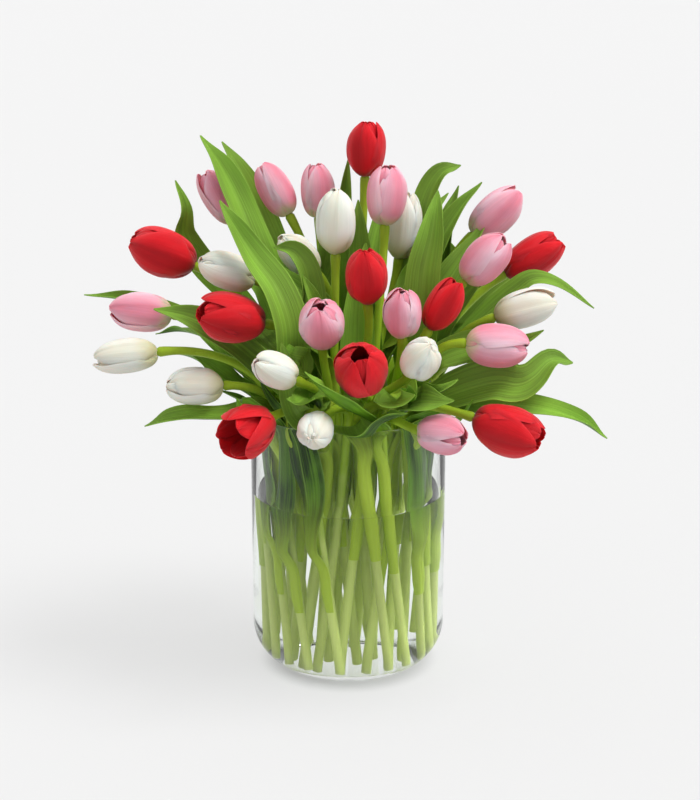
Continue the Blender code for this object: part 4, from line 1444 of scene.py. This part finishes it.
@dataclass
class Bloom:
    """Six petals in two whorls of three, round a pistil and six stamens."""

    tulip: Tulip
    openness: float  # 0 shut, 1 wide open, and below 0 shut tighter
    spin: float  # turn of the first outer petal round the axis, in degrees

    FINE = 8  # steps of a midrib for each row of its petal
    LOOSENS = 0.6  # how far an open petal leaves the shut bloom's radius
    LEAN = 1.0  # degrees that a petal leans more or less than the others
    TUCK = 5.0  # degrees that an inner petal's tip leans in further
    TIP_START = 0.88  # share of the length where the tip's own turn begins
    TIP_TURN = (-12.0, 20.0)  # degrees of that turn
    TALLER = (-0.04, 0.01)  # share of its reach that a petal is shorter or taller
    INSET, INSET_LESS = 0.0021, 0.0011  # inner petals lie this far in, and so much less at the tip
    AXIS_ROOM = 0.0006  # least distance of a midrib from the axis
    CROWDING = 1.35  # rows crowd towards the tip by this power
    WIDEST = (1.14, 1.24)  # half widths of inner and outer petals, in radii of the bloom
    OPEN_WIDTH = 0.36  # half width of an open petal, in its reach
    FLATTEST = 0.60  # least radius of the cup, in half widths
    WAVE, OVERLAP, KEEL, RIDGES = 0.0004, 0.0006, 0.0007, 0.00018  # heights on the surface
    JITTER = 0.07  # radians that a petal stands aside from its even place
    PISTIL, STIGMA, LOBING = 0.0021, 0.0012, 0.35  # radius, its swell on top, share in lobes
    FILAMENT, ANTHER, ANTHER_FOOT = 0.0006, 0.0010, 0.0007  # radii of a stamen's parts
    STAMEN_OUT, STAMEN_LEAN = 0.0028, 0.0032  # its distance from the axis, and gain in it

    def __post_init__(self) -> None:
        """Sets the bloom's own directions and its own random draws."""
        self.random = np.random.default_rng(BLOOM_SEED + self.tulip.number)
        self.first = unit(np.cross(self.tulip.axis, (0.1, 0.2, 0.97)))
        self.second = np.cross(self.tulip.axis, self.first)
        long, wide = SIZES.get(self.tulip.number, USUAL_SIZE)
        self.length, self.radius = self.tulip.length * long, self.tulip.radius * wide
        self.base = self.tulip.base + self.tulip.axis * (self.tulip.length - self.length) / 2

    def leans(self, share: Array) -> Array:
        """Lean of a petal from the axis, which is a smooth curve through the keys.

        Args:
            share: shares of the petal's length.

        Returns:
            Angles in radians.
        """
        shut, opened = np.array(LEANS_SHUT), np.array(LEANS_OPEN)
        keys = shut + (opened - shut) * self.openness
        return np.radians(through(keys, np.interp(share, LEAN_PLACES, np.arange(len(keys)))))

    def petal(self, turn: float, outer: bool) -> Array:
        """Grid of points over one petal.

        The midrib starts at the receptacle and runs along its lean: its radius is
        the sum of the sines of the leans, and its height the sum of the cosines.
        Across, each row is an arc about the inner side, so the petal is a cup.
        Its width follows a power of the distance from both ends. One edge lies a
        little further out than the other, so that neighbours overlap, and both
        edges wave.

        Args:
            turn: where the petal stands round the axis, in radians.
            outer: True for the outer whorl.

        Returns:
            Points in an array of rows by columns by three.
        """
        draw = self.random.uniform
        fine = np.linspace(0.0, 1.0, self.FINE * PETAL_ROWS + 1)
        plain = self.leans(fine)
        reach = self.length / np.cos(plain).mean()
        step = reach / (len(fine) - 1)
        swell = np.cumsum(np.sin(plain)).max() / len(fine) * reach
        fit = (self.radius - RECEPTACLE) / swell
        fit = fit + (1.0 - fit) * self.LOOSENS * self.openness
        tuck = math.radians(0.0 if outer else self.TUCK) * smooth_step(fine, 0.55, 1.0)
        lean = plain + math.radians(draw(-self.LEAN, self.LEAN)) * fine - tuck
        tip = np.clip((fine - self.TIP_START) / (1.0 - self.TIP_START), 0, 1)
        lean = lean + math.radians(draw(*self.TIP_TURN)) * tip**2
        radius = np.concatenate([[0], np.cumsum(np.sin(lean[1:]))]) * fit * step + RECEPTACLE
        height = np.concatenate([[0], np.cumsum(np.cos(lean[1:]))]) * step
        height = height + draw(*self.TALLER) * reach * smooth_step(fine, 0.6, 1.0)
        inset = 0.0 if outer else self.INSET - self.INSET_LESS * smooth_step(fine, 0.75, 1.0)
        radius = np.maximum(radius - inset, self.AXIS_ROOM)
        share = 1.0 - (1.0 - np.linspace(0.0, 1.0, PETAL_ROWS)) ** self.CROWDING
        rho, up, tip = (np.interp(share, fine, row)[:, None] for row in (radius, height, lean))
        s = np.linspace(-1.0, 1.0, PETAL_COLUMNS)[None, :]
        t = share[:, None]
        shut = self.WIDEST[outer] * self.radius * (1.0 - self.openness)
        width = (shut + self.OPEN_WIDTH * reach * self.openness) * self.outline(t)
        cup = np.maximum(rho * (1.02 + 0.9 * self.openness), self.FLATTEST * width)
        angle = s * width / cup
        radial = math.cos(turn) * self.first + math.sin(turn) * self.second
        across = np.cross(self.tulip.axis, radial)
        normal = np.cos(tip)[:, :, None] * radial - np.sin(tip)[:, :, None] * self.tulip.axis
        edge = np.abs(s) ** 3
        wave = np.sin(2 * math.pi * (draw(1.0, 2.2) * t + draw(0.0, 1.0)) + 1.5 * s)
        wave = wave * edge * self.WAVE * draw(0.4, 1.2)
        overlap = self.OVERLAP * s * (0.4 + 0.6 * edge) * smooth_step(t, 0.0, 0.25)
        ridges = self.RIDGES * np.cos(7.0 * math.pi * s + 2.0 * t)
        keel = (ridges - self.KEEL * np.exp(-((s / 0.12) ** 2))) * smooth_step(t, 0.05, 0.4)
        outside = wave * t + overlap + keel - cup * (1.0 - np.cos(angle))
        middle = rho[:, :, None] * radial + up[:, :, None] * self.tulip.axis
        sideways = cup * np.sin(angle) + draw(-0.05, 0.05) * t * t * reach
        return self.base + middle + sideways[:, :, None] * across + outside[:, :, None] * normal

    def outline(self, t: Array) -> Array:
        """Share of its greatest width that a petal has at shares of its length."""
        return 0.98 * ((t + 0.02) / 0.52) ** 0.42 * np.clip((1.012 - t) / 0.50, 0.0, None) ** 0.60

    def add_petals(self, shape: Shape) -> None:
        """Adds the inner whorl and then the outer one.

        Args:
            shape: mesh of the tulip.
        """
        thin = 1.0 - 0.5 * np.abs(np.linspace(-1, 1, PETAL_COLUMNS)) ** 2
        thickness = np.broadcast_to(PETAL_THICKNESS * thin, (PETAL_ROWS, PETAL_COLUMNS))
        for k in range(6):
            outer = k >= 3
            turn = math.radians(self.spin + 120 * k + (0 if outer else 60))
            turn += self.random.uniform(-self.JITTER, self.JITTER)
            shape.sheet(self.petal(turn, outer), thickness, self.random.uniform(0, 1), 0)

    def add_middle(self, shape: Shape) -> None:
        """Adds the pistil, a pillar with three lobes on top, and six stamens round it.

        Args:
            shape: mesh of the tulip.
        """
        axis, base, length = self.tulip.axis, self.base, self.length
        up = np.linspace(0.02, 0.42, 12)
        sides = 18
        turn = np.arange(sides) * 2 * math.pi / sides
        stigma = smooth_step(up, 0.32, 0.40) - smooth_step(up, 0.40, 0.425)
        lobed = self.LOBING * smooth_step(up, 0.30, 0.38)[:, None] * np.cos(3 * turn)[None, :]
        lobes = (self.STIGMA * stigma + self.PISTIL)[:, None] * (1.0 + lobed)
        shape.tube(base + up[:, None] * length * axis, lobes, sides, 0.9, 1)
        for k in range(6):
            angle = math.radians(60 * k + 12)
            out = math.cos(angle) * self.first + math.sin(angle) * self.second
            t = np.linspace(0.0, 1.0, 9)[:, None]
            path = base + axis * length * (0.04 + 0.38 * t)
            path = path + out * (self.STAMEN_OUT + self.STAMEN_LEAN * t)
            anther = smooth_step(t[:, 0], 0.42, 0.58) * (1 - smooth_step(t[:, 0], 0.92, 1.05))
            thick = np.maximum(self.FILAMENT + self.ANTHER * anther, self.ANTHER_FOOT)
            shape.tube(path[:5], np.full(5, self.FILAMENT), 6, 0.2, 1)
            shape.tube(path[4:], thick[4:], 8, 0.2, 2)


@dataclass
class Stem:
    """Round stem, a little thicker at its foot and just under the bloom."""

    tulip: Tulip
    top: Array
    sides: int = 14
    taper: float = 0.10  # share of its radius that it loses upwards
    swell: float = 0.22  # share that it gains again under the bloom
    cap: float = 0.0012  # how far it reaches into the bloom
    cap_share: float = 0.7  # radius there, in that of the receptacle

    def add(self, shape: Shape) -> None:
        """Adds the stem, a tube that narrows upwards and swells under the bloom.

        Args:
            shape: mesh of the tulip.
        """
        path = self.tulip.points
        share = np.linspace(0.0, 1.0, len(path))
        radii = STEM_RADIUS * (1.0 - self.taper * smooth_step(share, 0.3, 0.9))
        radii = radii * (1.0 + self.swell * smooth_step(share, 0.93, 1.0))
        cap = self.top + self.tulip.axis * self.cap
        path = np.concatenate([path, cap[None]])
        radii = np.concatenate([radii, [RECEPTACLE * self.cap_share]])
        shape.tube(path, radii, self.sides, self.tulip.number * SHADE_STEP % 1.0, 1)


# How far blooms have opened, by tulip; below 0 they are shut tighter
OPENED = {
    1: 0.09, 2: 0.08, 3: 0.04, 4: 0.05, 5: 0.05, 6: -0.05, 8: 0.10, 9: -0.04, 10: 0.10,
    11: -0.02, 12: 0.04, 13: 0.14, 14: 0.06, 15: 0.03, 16: 0.07, 17: -0.02, 19: 0.18, 20: 0.05,
    22: -0.10, 23: -0.04, 24: 0.11, 25: -0.08, 26: -0.06, 27: 0.45, 28: -0.12, 29: 0.07,
    30: 0.20, 32: 0.2,
}
SPIN_STEP = 77.0  # degrees from the turn of one bloom to that of the next
# Shares of its CAD node's length and radius that a bloom is drawn with
USUAL_SIZE = (0.93, 0.92)
SIZES = {
    2: (0.96, 0.98), 7: (0.98, 0.98), 9: (0.86, 0.90), 10: (0.96, 1.0), 12: (0.88, 0.88),
    14: (0.88, 0.90), 15: (0.86, 0.86), 16: (0.90, 0.86), 20: (0.88, 0.92), 21: (0.96, 0.94),
    22: (0.82, 0.88), 24: (0.86, 0.94), 25: (0.80, 0.84), 27: (0.84, 0.82), 28: (0.86, 0.88),
    29: (0.88, 0.88),
}


def build_tulip(tulip: Tulip, materials: dict) -> Object:
    """Builds one tulip, stem and bloom, as one piece in place of its CAD node.

    Args:
        tulip: the settled tulip.
        materials: the petals' finishes by hue, and those named stem and anther.

    Returns:
        The new object.
    """
    shape = Shape()
    bloom = Bloom(tulip, OPENED.get(tulip.number, 0.0), SPIN_STEP * tulip.number % 120)
    bloom.add_petals(shape)
    bloom.add_middle(shape)
    Stem(tulip, bloom.base).add(shape)
    name = f"tulip_{tulip.number:02d}"
    made = shape.build(name, [materials[tulip.hue], materials["stem"], materials["anther"]])
    place_piece(made, f"{tulip.hue.value}_tulip", f"{name}_{tulip.hue.value}")
    return made


# ---- leaves -------------------------------------------------------------------
@dataclass
class Blade:
    """Fine surface of a leaf: a gutter at the stem that opens into a ruffled blade."""

    leaf: Leaf
    rows: int = 61
    columns: int = 15
    ruffle: float = 0.0026  # height of the waves along the edges
    fold: float = 0.0040  # rise of the edges over the midrib
    tighter: float = 0.22  # share by which the foot of the sheath closes on its stem
    thickness: float = 0.0010  # of the blade along its midrib
    thinner: float = 0.55  # share of that which its edges lack

    def grid(self) -> Array:
        """Points over the leaf.

        It is the settled leaf's surface read at close rows, with a groove at the
        midrib and waves that grow with the square of the distance from it.

        Returns:
            Points in an array of rows by columns by three.
        """
        self.leaf.settled = True
        rows = np.linspace(0.0, len(self.leaf.points) - 1.0, self.rows)
        across = np.linspace(-1.0, 1.0, self.columns)
        midrib = through(self.leaf.points, rows)
        surface = self.leaf.surface(midrib, rows, across)
        _, _, facing, _ = self.leaf.sections(midrib, rows)
        draw = np.random.default_rng(BLADE_SEED + self.leaf.number).uniform
        b = (rows - SHEATH_STEPS) / BLADE_STEPS
        free = smooth_step(b, 0.15, 0.5) * (1 - smooth_step(b, 0.85, 1.0))
        phase = 2 * math.pi * (draw(1.6, 2.6) * b + draw(0, 1))
        left = np.sin(phase)[:, None] * np.clip(-across, 0, 1)[None, :] ** 2
        right = np.sin(phase * draw(0.8, 1.2) + draw(0, 6))[:, None]
        right = right * np.clip(across, 0, 1)[None, :] ** 2
        lift = self.ruffle * free[:, None] * (left + right)
        lift = lift + self.fold * free[:, None] * np.sqrt(across**2 + 0.01)[None, :]
        surface = surface + lift[:, :, None] * facing[:, None, :]
        core = (midrib + SHEATH_RADIUS * facing)[:, None, :]
        tight = 1.0 - self.tighter * (1.0 - smooth_step(rows, 0.0, 0.8)[:, None, None])
        return core + (surface - core) * tight

    def build(self, name: str, material: Material, nodes: tuple[str, ...]) -> Object:
        """Builds the leaf's mesh and fixes it to the object.

        Args:
            name: name of the piece.
            material: its finish.
            nodes: the CAD node it stands for, if there is one.

        Returns:
            The new object.
        """
        shape = Shape()
        grid = self.grid()
        thin = 1.0 - self.thinner * np.abs(np.linspace(-1, 1, self.columns)) ** 3
        thickness = np.broadcast_to(self.thickness * thin, grid.shape[:2])
        shape.sheet(grid, thickness, self.leaf.number * GOLDEN % 1.0, 0)
        made = shape.build(name, [material])
        place_piece(made, "leaf", *nodes)
        return made


# ---- vase and water -----------------------------------------------------------
TURN_SIDES = 160
ARC_FINE = 14
TURN_SHARP = 40.0  # degrees past which an edge of a turned piece stays crisp


def arc(centre_r: float, centre_z: float, radius: float, start: float, end: float) -> list:
    """Points of a turned profile along an arc.

    Args:
        centre_r: distance of its centre from the axis.
        centre_z: height of its centre.
        radius: its radius.
        start: angle where it starts, in degrees from the way outwards.
        end: angle where it ends.

    Returns:
        Radii and heights.
    """
    angles = np.radians(np.linspace(start, end, ARC_FINE + 1))
    return [(centre_r + radius * math.cos(a), centre_z + radius * math.sin(a)) for a in angles]


def turned(name: str, profile: list, material: Material) -> Object:
    """Solid of revolution.

    A point of the profile at radius r and height z goes to (r cos a, r sin a, z) for
    every angle a; a point at radius 0 is one vertex, joined by a fan.

    Args:
        name: name of the piece.
        profile: radii and heights from one point on the axis to another.
        material: its finish.

    Returns:
        The new object.
    """
    ring = np.array(profile[1:-1])
    a = np.arange(TURN_SIDES) * 2 * math.pi / TURN_SIDES
    level = np.broadcast_to(ring[:, 1, None], (len(ring), TURN_SIDES))
    x, y = np.outer(ring[:, 0], np.cos(a)), np.outer(ring[:, 0], np.sin(a))
    poles = np.array([(0.0, 0.0, profile[0][1]), (0.0, 0.0, profile[-1][1])])
    shape = Shape()
    shape.rings(np.stack([x, y, level], axis=2), poles, 0.5, 0)
    return shape.build(name, [material], TURN_SHARP)


@dataclass
class Vase:
    """Clear glass cylinder with a rounded foot, a thick floor and a rounded lip."""

    radius: float = VASE_RADIUS
    wall: float = VASE_WALL

    def build(self, material: Material) -> Object:
        """Builds the glass: up the outside, over the lip and down the hollow.

        Args:
            material: its finish.

        Returns:
            The new object.
        """
        flat = self.radius - CORNER_RADIUS
        foot = [(0.0, 0.0), (flat * 0.5, 0.0)] + arc(flat, CORNER_RADIUS, CORNER_RADIUS, -90, 0)
        lip_radius = self.wall / 2
        lip = arc(self.radius - lip_radius, VASE_HEIGHT - lip_radius, lip_radius, 0, 180)
        corner = CORNER_RADIUS - self.wall
        hollow = arc(flat, VASE_FLOOR + corner, corner, 0, -90)
        hollow += [(flat * 0.5, VASE_FLOOR), (0.0, VASE_FLOOR)]
        made = turned("vase_glass", foot + lip + hollow, material)
        place_piece(made, "glass", "vase")
        return made


@dataclass
class Water:
    """Water up to its level, with a small rise where it wets the glass."""

    level: float = WATER_LEVEL
    overlap: float = 0.00015  # how far it reaches into the glass, so no air shows between
    rise: float = 0.0008
    creep: float = 0.0028  # how far from the wall it starts to rise

    def build(self, material: Material) -> Object:
        """Builds the water; its top rises to the wall as the square of the nearness.

        Args:
            material: its finish.

        Returns:
            The new object.
        """
        flat = VASE_RADIUS - CORNER_RADIUS
        corner = CORNER_RADIUS - VASE_WALL
        grown = corner + self.overlap
        side = flat + grown
        body = [(0.0, VASE_FLOOR - self.overlap), (flat * 0.5, VASE_FLOOR - self.overlap)]
        body += arc(flat, VASE_FLOOR + corner, grown, -90, 0)
        steps = np.linspace(0.0, 1.0, 7)
        rim = [(side - self.creep * s, self.level + self.rise * (1 - s) ** 2) for s in steps]
        body += rim + [(flat * 0.8, self.level), (0.0, self.level)]
        made = turned("water_body", body, material)
        place_piece(made, "water", "water")
        return made


# ---- studio -------------------------------------------------------------------
@dataclass
class Studio:
    """Pale floor, soft light from above and the right, and the camera."""

    floor_radius: float = 20.0
    camera_place: tuple[float, float, float] = (0.00145, -1.4404, 0.6445)
    camera_pitch: float = 16.2  # degrees below level
    lens_mm: float = 82.6
    backdrop: str = "#F4F4F4"
    walls: tuple = (0.64, 0.64, 0.65, 1.0)
    ceiling: tuple = (0.86, 0.86, 0.86, 1.0)
    window: tuple = (9.0, 9.0, 9.0, 1.0)
    lamp_strength: float = 2.5
    lamp_width: float = 30.0  # degrees
    lamp_lean: float = 28.0  # degrees from straight above
    lamp_heading: float = 74.0  # degrees

    RISING = (0.05, 0.75)  # heights of a way between which walls turn into ceiling
    BACK = (0.05, -0.45)  # ways back between which the room turns dark
    WINDOW_PLANE = (0.6, 0.8, 0.0)  # across the upright plane that the window lies in
    # How far a way is off that plane, to the right and up, for none and all of the window
    WINDOW = ((0.13, 0.09), (0.2, 0.4), (0.75, 0.65))

    def floor(self) -> None:
        """Lays the floor, a wide disc of matt pale paper."""
        turn = np.linspace(0, 2 * math.pi, 97)[:-1]
        rim = np.stack([np.cos(turn), np.sin(turn), 0 * turn], axis=1) * self.floor_radius
        mesh = bpy.data.meshes.new("floor")
        mesh.from_pydata(rim.tolist(), [], [list(range(len(rim)))])
        mesh.materials.append(PAPER.make())
        floor = bpy.data.objects.new("floor", mesh)
        bpy.context.scene.collection.objects.link(floor)

    def light(self) -> None:
        """Lights the room: a bright ceiling, greyer walls, and one broad soft lamp.

        Glass mirrors two things more: the dark behind the camera, and a tall bright
        window on the right, which draws the light line down the vase.
        """
        world = bpy.data.worlds.new("studio")
        bpy.context.scene.world = world
        world.use_nodes = True
        tree = world.node_tree
        node = partial(add, tree)
        way = node("TexCoord", out="Generated")  # in a world, the way a ray goes
        right, back, up = (node("SeparateXYZ", way, out=k) for k in range(3))
        sent_back = mirrored(node)
        room = node("Mix", node("MapRange", up, *self.RISING), self.walls, self.ceiling)
        behind = node("Math", node("MapRange", back, *self.BACK), sent_back, operation="MULTIPLY")
        room = node("Mix", behind, room, linear(BEHIND))
        off = node("VectorMath", way, self.WINDOW_PLANE, operation="DOT_PRODUCT", out="Value")
        off = node("Math", off, operation="ABSOLUTE")
        strip = sent_back
        for value, ramp in zip((off, right, up), self.WINDOW):
            strip = node("Math", strip, node("MapRange", value, *ramp), operation="MULTIPLY")
        room = node("Mix", strip, room, self.window)
        seen = node("Mix", node("LightPath", out="Is Camera Ray"), room, linear(self.backdrop))
        give(tree, tree.nodes["Background"], {"Color": seen})
        lamp = bpy.data.lights.new("soft_lamp", "SUN")
        lamp.energy = self.lamp_strength
        lamp.angle = math.radians(self.lamp_width)
        made = bpy.data.objects.new("soft_lamp", lamp)
        made.rotation_euler = (math.radians(self.lamp_lean), 0.0, math.radians(self.lamp_heading))
        made.visible_glossy = False
        bpy.context.scene.collection.objects.link(made)

    def camera(self) -> None:
        """Places the camera."""
        lens = bpy.data.cameras.new("camera")
        lens.lens = self.lens_mm
        lens.sensor_width = 36.0
        lens.clip_end = 60.0
        made = bpy.data.objects.new("camera", lens)
        made.location = self.camera_place
        made.rotation_euler = (math.radians(90 - self.camera_pitch), 0.0, 0.0)
        bpy.context.scene.collection.objects.link(made)
        bpy.context.scene.camera = made

    def build(self) -> None:
        """Sets up the whole studio."""
        self.floor()
        self.light()
        self.camera()
        view = bpy.context.scene.view_settings
        view.view_transform = "Standard"
        view.look = "None"


def main() -> None:
    """Plants the tulips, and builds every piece."""
    logging.basicConfig(level=logging.INFO, format="%(name)s: %(message)s")
    tulips = plant_tulips()
    leaves = plant_leaves(tulips)
    materials = {hue: finish.make() for hue, finish in PETALS.items()}
    materials["stem"] = STEM_GREEN.make()
    materials["anther"] = ANTHER.make()
    green = LEAF_GREEN.make()
    Vase().build(GLASS.make())
    Water().build(WATER.make())
    for tulip in tulips:
        build_tulip(tulip, materials)
    sprays = plant_sprays(tulips, leaves)
    for leaf in leaves + sprays:
        name = f"leaf_{leaf.number:02d}"
        own = leaf.number * GOLDEN % 1.0
        if leaf.number <= len(leaves) and leaf.tulip.number not in LOW_CLASPED:
            leaf.lower(SHEATH_DROP * (LEAST_DROP + (1.0 - LEAST_DROP) * own))
        Blade(leaf).build(f"{name}_blade", green, (name,) if leaf.number <= len(leaves) else ())
    Studio().build()
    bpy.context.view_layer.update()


if __name__ == "__main__":
    main()
